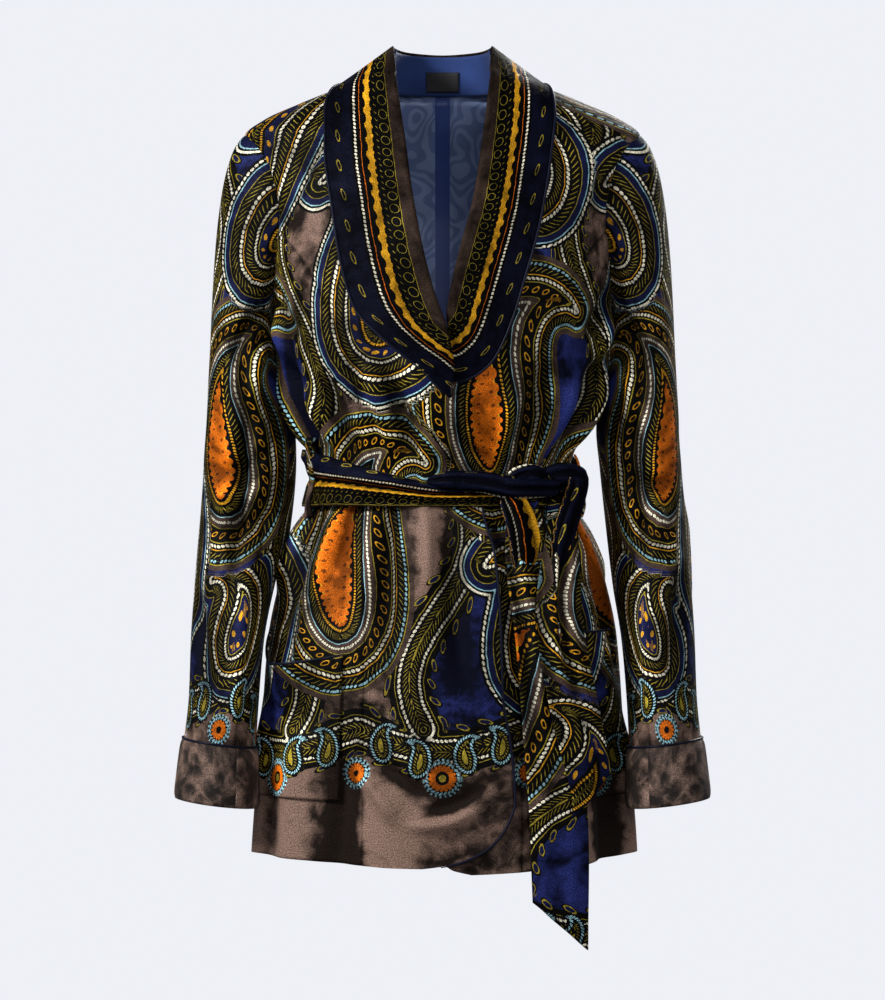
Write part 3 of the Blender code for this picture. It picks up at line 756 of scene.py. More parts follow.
VINE = PrintLayer(
    "vine",
    both_sides=True,
    stripes=rows_of(Stop, (0, OLIVE), (0.7, BLACK), (12.8, OLIVE), (13.5, BLACK), (19, None)),
    rows=rows_of(
        Row,
        (3.8, 2.4, 4, 0.9, 1.3, OLIVE), (9.4, 1.3, 4.2, 3.4, 0.5, IVORY), (20, 4.6, 23, 13, 1.3, BLACK),
        (20, 3.6, 23, 10, 1.3, OLIVE), (20, 2.4, 23, 8, 1.3, NAVY),
    ),
)
BROWN_DROP = PrintLayer(
    "drop",
    kind=0,
    stripes=rows_of(
        Stop,
        (-60, ORANGE), (-41, GOLD), (-40, BLACK), (-25, NAVY), (-17, OLIVE), (-16.3, BLACK), (-1.4, GOLD),
        (-0.6, BLACK), (14.6, OLIVE), (15.4, NAVY), (21, ICE), (21.8, BLACK), (28, None),
    ),
    rows=rows_of(
        Row,
        (-46, 2.2, 17, 4, 0, BLACK), (-41, 3.6, 13, 9, 0, ORANGE), (-33, 2.6, 5.2, 1, 0.9, OLIVE),
        (-28.4, 1.2, 3.4, 2.4, 0.4, GOLD), (-21, 2, 19, 7, 1.2, GOLD), (-13, 1.2, 4.2, 3.4, -0.5, IVORY),
        (-6.6, 3, 4.6, 0.9, 1.2, OLIVE), (2.2, 1.5, 4.4, 3.6, 0.5, IVORY), (9.4, 3.4, 5, 1, -1.1, OLIVE),
        (25, 1.2, 4, 3.2, 0.5, IVORY),
    ),
)
NAVY_DROP = PrintLayer(
    "drop",
    kind=1,
    stripes=rows_of(
        Stop,
        (-60, ORANGE), (-44, GOLD), (-42.6, BLACK), (-25, ICE), (-24.2, UMBER), (-15.4, OLIVE), (-14.7, BLACK),
        (-2, OLIVE), (-1.2, BLACK), (4.8, GOLD), (5.8, BLACK), (18, OLIVE), (18.8, UMBER), (24, None),
    ),
    rows=rows_of(
        Row,
        (-48, 2, 14, 3.6, 0, RUST), (-43, 3.4, 11, 8, 0, ORANGE), (-36, 1.2, 3.4, 2.2, 0.4, GOLD),
        (-30.6, 2.8, 5, 1, -0.9, OLIVE), (-19.8, 1.2, 4.2, 3.4, 0.5, IVORY), (-8.2, 3.2, 12, 6.4, 0.9, GOLD),
        (-8.2, 2, 12, 4.4, 0.9, BLACK), (1.9, 1.5, 4.4, 3.6, -0.5, IVORY), (10.6, 2.6, 5, 1, 1.1, OLIVE),
        (15.6, 1.3, 4, 2.8, 0.5, ICE),
    ),
)
ROSETTE = PrintLayer(
    "rosette",
    kind=2,
    stripes=rows_of(Stop, (-20, OLIVE), (-10.6, BLACK), (-8, ORANGE), (-4.2, RUST), (-3.2, BLACK), (2.6, None)),
    rows=rows_of(
        Row,
        (-3.6, 1.8, 5, 4, 0, ORANGE), (-13, 1.6, 3.6, 1.6, 0, BLACK), (0, 1.5, 3.6, 2.6, 0.7, ICE),
        (2.6, 1, 3.6, 1.8, 0, ICE),
    ),
)
LEAF = PrintLayer(
    "rosette",
    kind=3,
    stripes=rows_of(Stop, (-20, OLIVE), (-7.4, BLACK), (1.2, None)),
    rows=rows_of(Row, (-5, 1.2, 3.4, 1, 0.9, OLIVE), (-1.2, 1.3, 3, 1.9, 0.8, ICE), (1.6, 1.2, 7, 4.4, 0, BLACK)),
)
COLLAR_BANDS = PrintLayer(
    "vine",
    stripes=rows_of(
        Stop,
        (0, INK), (25, BLACK), (33.6, ORANGE), (34.6, BLACK), (38.8, GOLD), (45.4, BLACK), (63.6, OLIVE),
        (64.2, BARK), (140, BARK),
    ),
    rows=rows_of(
        Row,
        (12, 2.2, 31, 11, 1.6, OLIVE), (12, 1.4, 31, 8.6, 1.6, INK), (29, 1.3, 4, 3, 0.5, IVORY),
        (38.2, 3, 15, 11, 0.6, BLACK), (45.4, 1.4, 9, 4, 0.4, GOLD), (50.8, 1.2, 7, 0.8, 1.2, OLIVE),
        (58.4, 4.4, 13, 9, 0.3, OLIVE), (58.4, 3.9, 13, 8.2, 0.3, BLACK),
    ),
)


@dataclass(frozen=True)
class Velvet:
    """Cut velvet: short upright pile, dark where one looks into it, bright in brushed patches that are partly painted
    glints.
    """

    name: str
    ground: str
    other_ground: str | None = None
    layers: tuple[PrintLayer, ...] = ()
    roughness: tuple[float, float] = (0.34, 0.66)
    sheen: float = 0.06
    specular: float = 0.06
    lay: tuple[float, float] = (0.4, 0.7)
    shade: tuple[float, float] = (0.22, 4.4)
    print_shade: tuple[float, float] = (0.34, 1.9)
    speckle: tuple[float, float] = (0.3, 1.75)
    relief_mm: float = 1.2
    pile_mm: float = 1.1
    crushed_mm: float = 13.0
    brushed_mm: float = 58.0
    wobble_mm: float = 13.0
    line_wobble: float = 1.1
    crushed_share: float = 0.34
    crushed_relief: float = 2.4
    fold_lean: float = 0.27

    def make(self) -> bpy.types.Material:
        """Builds the velvet's material.

        Returns:
            The material.
        """
        bench = Bench(self.name)
        add = bench.add
        cut = add("UVMap", uv_map="cut")
        # Pile is too fine to show at its true 0.2 mm, so its grain is drawn at about 1 mm.
        grain = add("TexNoise", {"Vector": cut, "Scale": 1 / (self.pile_mm * MM), "Detail": 3.0})
        fine = {"Vector": cut, "Scale": 1 / (self.crushed_mm * MM), "Detail": 4.0, "Distortion": 0.8}
        crushed = add("TexNoise", fine)
        broad = {"Vector": cut, "Scale": 1 / (self.brushed_mm * MM), "Detail": 3.0, "Distortion": 1.5}
        # Brushed patches: partly the pile's own random tone, partly painted glints up to several times the ground
        # colour.
        brushed_and_glints = add("Mix", {0: self.crushed_share, 2: add("TexNoise", broad), 3: crushed})
        uneven = add("TexNoise", {"Vector": cut, "Scale": 1 / (self.wobble_mm * MM), "Detail": 2.0})
        wobble = add("Math", {0: uneven, 1: 2 * self.line_wobble, 2: -self.line_wobble}, operation="MULTIPLY_ADD")
        # Painted crease shade and highlight: the colour darkens in a trough and brightens over a ridge, and the gloss
        # follows.
        fold = add("Attribute", attribute_name="fold", attribute_type="GEOMETRY", out="Fac")
        lay_and_crease_shade = add("Math", {0: fold, 1: self.fold_lean, 2: brushed_and_glints}, operation="MULTIPLY_ADD")
        lay = {0: lay_and_crease_shade, 1: self.lay[0], 2: self.lay[1]}
        tone = add("MapRange", {**lay, 3: self.shade[0], 4: self.shade[1]}, interpolation_type="SMOOTHSTEP")
        gloss = add("MapRange", {**lay, 3: self.roughness[1], 4: self.roughness[0]})
        printed_tone = add("MapRange", {**lay, 3: self.print_shade[0], 4: self.print_shade[1]})
        pile = add("MapRange", {0: grain, 1: 0.32, 2: 0.68, 3: self.speckle[0], 4: self.speckle[1]})
        colour = linear(self.ground)[:3]
        if self.other_ground:
            field_ = add("Attribute", attribute_name="vine", attribute_type="GEOMETRY", out="Vector")
            which = add("SeparateXYZ", {0: field_}, out=2)
            pick = add("Math", {0: which, 1: 0.5}, operation="GREATER_THAN")
            grounds = {0: pick, 6: linear(self.ground), 7: linear(self.other_ground)}
            colour = add("Mix", grounds, out=2, data_type="RGBA")
        ratio = add("Math", {0: tone, 1: printed_tone}, operation="DIVIDE")
        colour = add("VectorMath", {0: colour, "Scale": ratio}, operation="SCALE")
        for layer in self.layers:
            colour = layer.draw(bench, colour, wobble)
        crease_shade_and_nap = add("Math", {0: printed_tone, 1: pile}, operation="MULTIPLY")
        colour = add("VectorMath", {0: colour, "Scale": crease_shade_and_nap}, operation="SCALE")
        hill = add("Math", {0: crushed, 1: self.crushed_relief, 2: grain}, operation="MULTIPLY_ADD")
        relief = add("Bump", {"Strength": 0.5, "Distance": self.relief_mm * MM, "Height": hill})
        skin = {
            "Base Color": colour,
            "Roughness": gloss,
            "Normal": relief,
            "Specular IOR Level": self.specular,
            "Sheen Weight": self.sheen,
            "Sheen Roughness": 0.25,
            "Sheen Tint": linear("#b9b4b4"),
        }
        shader = add("BsdfPrincipled", skin)
        add("OutputMaterial", {"Surface": shader})
        return bench.material


@dataclass(frozen=True)
class Satin:
    """Satin weave: floats of smooth yarn that give a soft directional gloss, with an optional woven figure."""

    name: str
    ground: str
    figure: str | None = None
    strip: str | None = None
    strip_half_mm: float = 7.0
    roughness: float = 0.42
    sheen: float = 0.15
    specular: float = 0.4
    thread_mm: float = 0.7
    figure_mm: float = 40.0
    figure_step: float = 0.05
    figure_edge: float = 0.024
    cloud_mm: float = 60.0

    def make(self) -> bpy.types.Material:
        """Builds the satin's material.

        Returns:
            The material.
        """
        bench = Bench(self.name)
        add = bench.add
        place = add("TexCoord", out="Object")
        # Threads are drawn several times coarser than the real 0.15 mm so that they show.
        thread = 2 / (self.thread_mm * MM)
        weave = add("TexWave", {"Vector": place, "Scale": thread / 20, "Distortion": 1.0}, bands_direction="Z")
        cloudy = add("TexNoise", {"Vector": place, "Scale": 1 / (self.cloud_mm * MM), "Detail": 3.0})
        colour = linear(self.ground)
        if self.figure:
            hills = add("TexNoise", {"Vector": place, "Scale": 1 / (self.figure_mm * MM), "Detail": 1.0})
            rings = add("Math", {0: hills, 1: self.figure_step}, operation="PINGPONG")
            woven = add("Math", {0: rings, 1: self.figure_edge}, operation="GREATER_THAN")
            tones = {0: woven, 6: linear(self.ground), 7: linear(self.figure)}
            colour = add("Mix", tones, out=2, data_type="RGBA")
        if self.strip:
            across = add("Math", {0: add("SeparateXYZ", {0: place})}, operation="ABSOLUTE")
            middle = add("Math", {0: across, 1: self.strip_half_mm * MM}, operation="LESS_THAN")
            plain = {0: middle, 6: colour, 7: linear(self.strip)}
            colour = add("Mix", plain, out=2, data_type="RGBA")
        tone = add("MapRange", {0: cloudy, 1: 0.3, 2: 0.7, 3: 0.75, 4: 1.25})
        lit = {0: 1.0, 6: colour, 7: add("CombineXYZ", {0: tone, 1: tone, 2: tone})}
        colour = add("Mix", lit, out=2, data_type="RGBA", blend_type="MULTIPLY", clamp_result=False)
        relief = add("Bump", {"Strength": 0.25, "Distance": 0.0003, "Height": weave})
        rough = {0: cloudy, 1: 0.3, 2: 0.7, 3: self.roughness - 0.06, 4: self.roughness + 0.1}
        skin = {
            "Base Color": colour,
            "Roughness": add("MapRange", rough),
            "Normal": relief,
            "Specular IOR Level": self.specular,
            "Sheen Weight": self.sheen,
            "Sheen Roughness": 0.4,
        }
        shader = add("BsdfPrincipled", skin)
        add("OutputMaterial", {"Surface": shader})
        return bench.material


@dataclass
class Finishes:
    """The garment's materials, each made once."""

    printed: bpy.types.Material
    brown: bpy.types.Material
    collar: bpy.types.Material
    satin: bpy.types.Material
    facing: bpy.types.Material
    lining: bpy.types.Material
    label: bpy.types.Material

    @classmethod
    def make(cls) -> Finishes:
        """Makes every finish of the garment.

        Returns:
            The finishes.
        """
        layers = (VINE, NAVY_DROP, BROWN_DROP, LEAF, ROSETTE)
        brushed_and_glints = {"sheen": 0.16, "specular": 0.2, "lay": (0.42, 0.72), "shade": (0.2, 5.4), "speckle": (0.25, 2.0)}
        brushed_and_glints["relief_mm"] = 2.6
        matt = {"sheen": 0.02, "specular": 0.03, "shade": (0.3, 2.4)}
        return cls(
            # Soft matt pile that turns light and dark with its lay and painted glints, with painted crease shade and
            # highlight, under a sharp print.
            printed=Velvet("printed_cut_velvet", UMBER, NAVY, layers).make(),
            # The same pile brushed every way, which leaves broad light patches, partly its own tone and partly painted
            # glints.
            brown=Velvet("plain_umber_velvet", UMBER, **brushed_and_glints).make(),
            # Dark pile that swallows the light, so that the bands stand out.
            collar=Velvet("banded_navy_velvet", INK, layers=(COLLAR_BANDS,), **matt).make(),
            # A narrow dark line with a faint gleam.
            satin=Satin("navy_satin_piping", "#0a0e20", sheen=0.02, specular=0.12).make(),
            # Dull crepe, an even blue.
            facing=Satin("navy_crepe_facing", "#273a6b", roughness=0.7, specular=0.15).make(),
            # Smooth lining whose woven swirl is a little paler than its ground.
            lining=Satin("navy_figured_lining", "#7487b8", figure="#8fa3cf", strip="#3f569a").make(),
            # Close black threads, left bare.
            label=Satin("black_woven_label", "#141416", roughness=0.6, thread_mm=1.2).make(),
        )


def settle(piece: bpy.types.Object, node: str, slot: Slot) -> None:
    """Carries a piece on the garment's body, in place of its node.

    Args:
        piece: The piece's object.
        node: The CAD node that it stands for.
        slot: Its material slot; not used.
    """
    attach(piece, BODY)
    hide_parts(node)
    LOG.info("%s stands for %s", piece.name, node)


def link_mesh(name: str, made: bmesh.types.BMesh) -> bpy.types.Object:
    """Puts a bmesh into the scene as a smooth object.

    Args:
        name: The object's name.
        made: The bmesh, which is freed.

    Returns:
        The new object.
    """
    mesh = bpy.data.meshes.new(name)
    made.to_mesh(mesh)
    made.free()
    mesh.shade_smooth()
    piece = bpy.data.objects.new(name, mesh)
    bpy.context.scene.collection.objects.link(piece)
    return piece


def dress(
    mesh: bpy.types.Mesh, laid: Laid, print_: Paisley | None, turn: Callable[[Laid], Laid], fold: Array
) -> None:
    """Gives a mesh its cut coordinates, in metres, the fields of its print and its crease depths for the painted crease
    shade.

    Args:
        mesh: The cloth's mesh, with its vertices in the order of the laid points.
        laid: The cloth's coordinates.
        print_: The print, if the cloth has one.
        turn: How the print lies on the cloth.
        fold: How far the creases move each point out, in millimetres.
    """
    flat = np.stack([laid.across.ravel(), laid.along.ravel()], axis=1) * MM
    corner = np.empty(len(mesh.loops), np.int32)
    mesh.loops.foreach_get("vertex_index", corner)
    mesh.uv_layers.new(name="cut").data.foreach_set("uv", flat[corner].astype(np.float32).ravel())
    lying = turn(laid)
    if print_ is None:
        fields = {"vine": np.stack([lying.across.ravel(), lying.along.ravel(), 0 * lying.across.ravel()], axis=1)}
    else:
        fields = print_.fields(lying.across, lying.along)
    for name, values in fields.items():
        layer = mesh.attributes.new(name, "FLOAT_VECTOR", "POINT")
        layer.data.foreach_set("vector", values.astype(np.float32).ravel())
    crease_shade_and_nap = mesh.attributes.new("fold", "FLOAT", "POINT")
    crease_shade_and_nap.data.foreach_set("value", np.clip(fold.ravel() / DEEP_FOLD, -1.0, 1.0).astype(np.float32))


def as_cut(laid: Laid) -> Laid:
    """A print that follows the cloth's own coordinates."""
    return laid


def turned(degrees: float, across: float, along: float) -> Callable[[Laid], Laid]:
    """A print that lies turned and moved on the cloth.

    Args:
        degrees: How far the print is turned.
        across: How far it is moved across.
        along: How far it is moved along.

    Returns:
        A function that turns a cloth's coordinates.
    """
    cosine, sine = math.cos(math.radians(degrees)), math.sin(math.radians(degrees))

    def turn(laid: Laid) -> Laid:
        """Turns and moves the coordinates."""
        new_across = cosine * laid.across - sine * laid.along + across
        return Laid(laid.points, new_across, sine * laid.across + cosine * laid.along + along)

    return turn


@dataclass
class Cloth:
    """One cut piece of cloth: a fine grid on its form, creased, printed and given its wall."""

    node: str
    form: Form
    columns: int
    rows: int
    slot: Slot = Slot.PRINTED
    held: str = "hung"
    rests_on: tuple[str, ...] = ()
    depth: Depth | None = None
    print_: Paisley | None = None
    turn: Callable[[Laid], Laid] = as_cut
    wall: float = 2.0
    seams: tuple[float, float] = (0.0, 0.0)
    seam_width: float = 2.8
    laid: Laid | None = field(default=None, init=False)

    def build(self, outside: bpy.types.Material, lining: bpy.types.Material) -> bpy.types.Object:
        """Makes the piece and puts it in its node's place.

        Args:
            outside: Finish of the face and the edges.
            lining: Finish of the inner face.

        Returns:
            The finished object.
        """
        grid = bmesh.new()
        bmesh.ops.create_grid(grid, x_segments=self.columns, y_segments=self.rows, size=0.5)
        piece = link_mesh(f"{self.node}_cloth", grid)
        mesh = piece.data
        flat = np.empty(len(mesh.vertices) * 3, np.float32)
        mesh.vertices.foreach_get("co", flat)
        shape = (self.rows + 1, self.columns + 1)
        u, v = (flat.reshape(-1, 3)[:, i].reshape(shape).astype(float) + 0.5 for i in (0, 1))
        laid = self.form(u, v)
        moved = self._seamed(laid.points)
        if self.depth:
            moved = moved + self.depth(laid.across, laid.along)
        normal = unit(np.cross(np.gradient(laid.points, axis=1), np.gradient(laid.points, axis=0)))
        points = laid.points + normal * moved[..., None]
        self.laid = Laid(points, laid.across, laid.along)
        mesh.vertices.foreach_set("co", (points * MM).astype(np.float32).ravel())
        # The crease and seam depths also drive the velvet's painted crease shade and highlight.
        dress(mesh, laid, self.print_, self.turn, moved)
        mesh.materials.append(outside)
        mesh.materials.append(lining)
        thick = piece.modifiers.new("wall", "SOLIDIFY")
        thick.thickness = self.wall * MM
        thick.offset = -1.0
        thick.material_offset = 1
        settle(piece, self.node, self.slot)
        self._declare(points * MM)
        return piece

    def _seamed(self, points: Array) -> Array:
        """How far the cloth dips along its two lengthwise seams.

        Args:
            points: The cloth's grid of points.

        Returns:
            Distances outwards, below zero in a seam.
        """
        widths = steps(points, 1)
        reach = np.concatenate([np.zeros_like(widths[:, :1]), np.cumsum(widths, axis=1)], axis=1)
        first = self.seams[0] * np.exp(-((reach / self.seam_width) ** 2))
        last = self.seams[1] * np.exp(-(((reach[:, -1:] - reach) / self.seam_width) ** 2))
        return -first - last

    def _declare(self, points: Array) -> None:
        """Args:
            points: Its grid of points, in metres.
        """
        width, length = (float(steps(points, axis).sum(axis=axis).max()) for axis in (1, 0))
        list(self.rests_on)


@dataclass
class Cord:
    """Satin piping: a thin round cord sewn along an edge."""

    node: str
    points: Array
    radius: float = 1.2
    closed: bool = False
    tip: float = 0.35
    tip_points: float = 4.0

    def build(self, finish: bpy.types.Material) -> bpy.types.Object:
        """Makes the piping along its points.

        Args:
            finish: The piping's satin.

        Returns:
            The finished object.
        """
        curve = bpy.data.curves.new(f"{self.node}_cord", "CURVE")
        curve.dimensions = "3D"
        curve.bevel_depth = self.radius * MM
        curve.bevel_resolution = 3
        curve.use_fill_caps = not self.closed
        line = curve.splines.new("POLY")
        line.points.add(len(self.points) - 1)
        spots = np.concatenate([self.points * MM, np.ones((len(self.points), 1))], axis=1)
        line.points.foreach_set("co", spots.astype(np.float32).ravel())
        if not self.closed:
            from_end = np.minimum(np.arange(len(spots)), np.arange(len(spots))[::-1])
            thickness = mix(self.tip, 1.0, ease(from_end, 0.0, self.tip_points))
            line.points.foreach_set("radius", thickness.astype(np.float32))
        line.use_cyclic_u = self.closed
        line.use_smooth = True
        curve.materials.append(finish)
        piece = bpy.data.objects.new(curve.name, curve)
        bpy.context.scene.collection.objects.link(piece)
        settle(piece, self.node, Slot.SATIN)
        return piece


def beyond(edge: Array, inner: Array, distance: float) -> Array:
    """An edge's points moved past it, square to the edge and away from the points inside it.

    Args:
        edge: Points of the edge.
        inner: Points inside it.
        distance: How far to move them.

    Returns:
        The moved points.
    """
    along = unit(np.gradient(edge, axis=0))
    outward = edge - inner
    outward = outward - along * np.sum(outward * along, axis=-1, keepdims=True)
    return edge + unit(outward) * distance


@dataclass
class Bodice:
    """Back, fronts, side panels, pockets and lining."""

    shoulder: float = -34.0
    piping_start: int = 5
    piping_out: float = 0.6
    mouth_out: float = 0.4
    mouth_piping: float = 1.1
    underarm: float = -188.0
    hem: float = -703.0
    under_hem: float = -709.0
    hem_rise: float = 8.0
    hem_rise_top: float = -560.0
    lap_lift: float = 6.8
    armhole_front: float = 17.0
    armhole_back: float = 20.0
    panel_turn: float = 100.0
    spacing: float = 3.2
    corner: float = 40.0
    armhole_step: float = 2.5
    waist: float = -352.0
    belt_calm: float = 40.0
    fold_gain: float = 2.0
    armhole_calm: float = 1.4
    seam_dip: float = 1.3
    lap: float = 0.01
    lap_across: tuple[float, float] = (-62.0, -18.0)
    lap_down: tuple[float, float] = (180.0, 236.0)
    pocket_span: tuple[float, float] = (41.0, 78.0)
    pocket_bottom: float = -646.0
    pocket_lift: float = 3.4
    gape_right: float = 15.0
    gape_left: float = 8.0
    lining_span: tuple[float, float] = (104.0, 256.0)
    lining_short: float = 22.0
    lining_depth: float = 5.7
    lining_top: tuple[float, float] = (7.0, -70.0)
    lining_turn: tuple[float, float] = (38.0, 70.0)
    pleat: float = 2.4
    pleat_edge: tuple[float, float] = (-9.0, -5.0)
    mouth_right: tuple[float, ...] = (-512.0, -516.0, -519.0, -522.0, -523.0, -508.0, -491.0)
    mouth_left: tuple[float, ...] = (-490.0, -493.0, -490.0)
    right_edge: tuple[Edge, ...] = rows_of(
        Edge,
        (20, -66), (-4, -48), (-49, -42), (-92, -36), (-142, -27), (-187, -15), (-221, -3), (-262, 7), (-309, 25),
        (-340, 34), (-383, 35), (-421, 45), (-477, 50), (-556, 53), (-584, 58), (-619, 62), (-645, 63), (-664, 57),
        (-681, 45), (-694, 24), (-700, 3), (-703, -18),
    )
    left_edge: tuple[Edge, ...] = rows_of(
        Edge,
        (20, 66), (-8, 49), (-59, 43), (-100, 36), (-138, 26), (-170, 17), (-208, 7), (-262, -6), (-310, -12),
        (-560, -15), (-664, -14), (-690, -6), (-704, 8), (-709, 26),
    )
    panel_seam: tuple[Edge, ...] = rows_of(
        Edge,
        (-124.4, 151.6), (-160, 124), (-200, 104), (-260, 82), (-350, 62), (-450, 69), (-560, 72), (-709, 73),
    )
    folds: tuple[Fold, ...] = rows_of(
        Fold,
        ((-128, -352), (-150, -262), 4, 9, 6), ((-104, -352), (-116, -246), -5, 8, -5),
        ((-84, -352), (-88, -276), 3, 8, 4.5), ((-58, -360), (-78, -240), 8, 10, 5.5),
        ((-30, -366), (-58, -250), 6, 9, -5), ((4, -360), (-44, -232), 10, 11, 6),
        ((-170, -352), (-186, -200), 6, 13, -7), ((-192, -352), (-206, -240), 0, 10, 5),
        ((62, -352), (66, -262), 4, 9, 4), ((92, -352), (104, -236), -4, 10, -5),
        ((122, -352), (138, -250), 3, 9, 5.5), ((150, -352), (176, -214), 5, 12, -6),
        ((186, -352), (200, -236), 0, 11, 5), ((-128, -352), (-132, -470), -3, 9, 5),
        ((-106, -352), (-108, -440), 2, 7, -4.5), ((-82, -352), (-78, -480), -4, 9, 4.5),
        ((-56, -352), (-48, -520), 5, 9, -4), ((-24, -352), (-14, -470), -4, 9, 4.5),
        ((8, -352), (22, -560), 5, 10, -4), ((96, -352), (104, -470), 3, 9, 5),
        ((126, -352), (132, -500), -3, 9, -4.5), ((152, -352), (164, -450), 3, 9, 4.5),
        ((182, -352), (196, -560), 4, 12, -6), ((-160, -352), (-172, -500), 0, 11, -6),
        ((-186, -352), (-202, -470), 0, 10, 5), ((-128, -560), (-140, -703), 4, 17, 4.5, True),
        ((-88, -590), (-92, -703), -3, 13, -4.5, True), ((-40, -600), (-46, -703), 4, 20, 4, True),
        ((-84, -612), (-30, -668), -4, 8, 4.5), ((-40, -664), (40, -640), 10, 7, 4.5),
        ((-64, -606), (-10, -650), -4, 9, -4), ((-24, -652), (40, -626), 8, 9, -3),
        ((-184, -540), (-190, -703), 0, 13, 4, True), ((112, -560), (122, -703), 3, 15, 4.5, True),
        ((154, -540), (160, -703), -3, 14, -5, True), ((196, -560), (204, -703), 0, 14, 4, True),
        ((-232, -340), (-234, -170), 0, 24, 2.6), ((232, -340), (234, -170), 0, 24, 2.6),
        ((-206, -196), (-160, -262), 5, 10, 4), ((-196, -170), (-140, -230), 6, 9, -3.5),
        ((204, -192), (158, -258), -5, 10, 4), ((196, -166), (142, -226), -6, 9, -3.5),
        ((262, -352), (272, -240), 4, 11, 5), ((300, -352), (304, -262), -3, 10, -4.5),
        ((338, -352), (352, -226), 4, 12, 5.5), ((384, -352), (382, -270), 0, 10, -4),
        ((424, -352), (436, -236), 4, 12, 5), ((470, -352), (474, -250), -4, 11, -5),
        ((512, -352), (500, -230), 3, 12, 5.5), ((560, -352), (552, -266), 0, 10, -4),
        ((604, -352), (588, -236), -4, 12, 5), ((650, -352), (644, -260), 0, 10, -4),
        ((690, -352), (676, -240), 0, 11, 5), ((272, -352), (266, -470), 3, 11, 5),
        ((318, -352), (314, -560), -4, 13, -5), ((366, -352), (362, -480), 3, 11, 5),
        ((412, -352), (404, -600), 4, 15, -5), ((466, -352), (470, -480), 0, 11, 5.5),
        ((520, -352), (534, -610), -4, 15, -5), ((566, -352), (572, -470), 3, 11, 5),
        ((620, -352), (634, -560), 4, 13, -5), ((670, -352), (680, -470), 0, 11, 5),
        ((290, -540), (286, -703), 3, 18, 5, True), ((360, -560), (352, -703), -3, 17, -4.5, True),
        ((446, -540), (440, -703), 3, 20, 5, True), ((540, -560), (546, -703), 3, 18, 4.5, True),
        ((616, -540), (624, -703), 0, 17, -4.5, True), ((330, -90), (400, -150), 8, 13, -3),
        ((624, -94), (556, -152), -8, 13, -3),
    )

    def armhole_height(self, turn: Array) -> Array:
        """Height of the armhole's edge, by the turn in degrees from the shoulder point."""
        return (self.shoulder + self.underarm) / 2 + (self.shoulder - self.underarm) / 2 * np.cos(np.radians(turn))

    def armhole_angle(self, height: Array, reach: float) -> Array:
        """How far the armhole's edge lies from the side line at a height, in degrees.

        Args:
            height: Heights of the points.
            reach: The armhole's greatest angle.

        Returns:
            Angles in degrees.
        """
        middle = (self.shoulder + self.underarm) / 2
        share = np.clip((height - middle) / ((self.shoulder - self.underarm) / 2), -1.0, 1.0)
        return reach * np.sqrt(1 - share**2)

    def rows(self, low: float, turn: float) -> Array:
        """Heights of a panel's rows, closer together round the lower corner and the armhole.

        Args:
            low: Height of the hem.
            turn: Where the panel meets the armhole, in degrees.

        Returns:
            Heights from the hem to the neck.
        """
        corner = low + self.corner * np.linspace(0.0, 1.0, 26) ** 1.8
        chest = float(self.armhole_height(turn))
        skirt = np.linspace(low + self.corner, chest, round((chest - low - self.corner) / self.spacing))
        armhole = self.armhole_height(np.arange(turn, -0.1, -self.armhole_step))
        shoulder = np.linspace(self.shoulder, FIGURE.neck, 18)
        return np.concatenate([corner[:-1], skirt[:-1], armhole[:-1], shoulder])

    def hung(self, angle: Array, height: Array) -> Array:
        """Height of a point of the skirt, which rises a little towards the side seams."""
        rise = self.hem_rise * np.sin(np.radians(angle)) ** 2
        return height + rise * ease(-height, -self.hem_rise_top, -self.hem)

    def laid_at(self, angle: Array, height: Array, lift: Array | float = 0.0) -> Laid:
        """Cloth on the figure, with its length round the hips and its height as coordinates."""
        height = self.hung(angle, height)
        return Laid(FIGURE.place(angle, height, lift), FIGURE.around(angle), height)

    def depth(self, across: Array, along: Array) -> Array:
        """Folds of the body, held flat under the belt and along the armhole seams.

        Args:
            across: First coordinate of the points.
            along: Second coordinate of the points.

        Returns:
            Distances outwards, in millimetres.
        """
        calm = 1 - np.exp(-(((along - self.waist) / self.belt_calm) ** 2))
        girth, side = FIGURE.girth(), float(FIGURE.around(np.array(90.0)))
        from_side = np.min([np.abs(across - at) for at in (-side, side, girth - side)], axis=0)
        middle, half = (self.shoulder + self.underarm) / 2, (self.shoulder - self.underarm) / 2
        ring = np.hypot(from_side / (self.armhole_back * girth / 360), (along - middle) / half)
        return self.fold_gain * calm * ease(ring, 1.0, self.armhole_calm) * creased(self.folds, across, along)

    def panel_angle(self, height: Array) -> Array:
        """Angle of the seam between a front and its side panel."""
        return FIGURE.angle_at(read(self.panel_seam, "across", height), height)

    def outer_line(self, height: Array) -> Array:
        """Outer edge of a front panel: panel seam, then armhole, then shoulder seam."""
        armhole = 90.0 - self.armhole_angle(height, self.armhole_front)
        return np.where(height < self.armhole_height(self.panel_turn) - 0.01, self.panel_angle(height), armhole)

    def front_right(self, height: Array, u: Array) -> Laid:
        """The right front, which laps over the left: panel seam to front edge.

        Args:
            height: Heights of the points.
            u: Share across, 0 to 1.

        Returns:
            The cloth.
        """
        edge = FIGURE.angle_at(read(self.right_edge, "across", height), height)
        angle = mix(-self.outer_line(height), edge, u)
        across = FIGURE.surface(angle, height)[..., 0]
        lift = self.lap_lift * ease(across, *self.lap_across) * ease(-height, *self.lap_down)
        return self.laid_at(angle, height, lift)

    def front_left(self, height: Array, u: Array) -> Laid:
        """The left front, which lies underneath: front edge to panel seam."""
        edge = FIGURE.angle_at(read(self.left_edge, "across", height), height)
        return self.laid_at(mix(edge, self.outer_line(height), u), height)

    def back(self, height: Array, u: Array) -> Laid:
        """The back: left side seam round to the right one."""
        armhole = np.where(height < self.underarm, 0.0, self.armhole_angle(height, self.armhole_back))
        return self.laid_at(mix(90.0 + armhole, 270.0 - armhole, u), height)

    def panel(self, form: Callable[[Array, Array], Laid], heights: Array, u: Array, v: Array) -> Laid:
        """A long panel, hem to shoulder, by its form and the heights of its rows."""
        return form(np.interp(v * (len(heights) - 1), np.arange(len(heights)), heights), u)

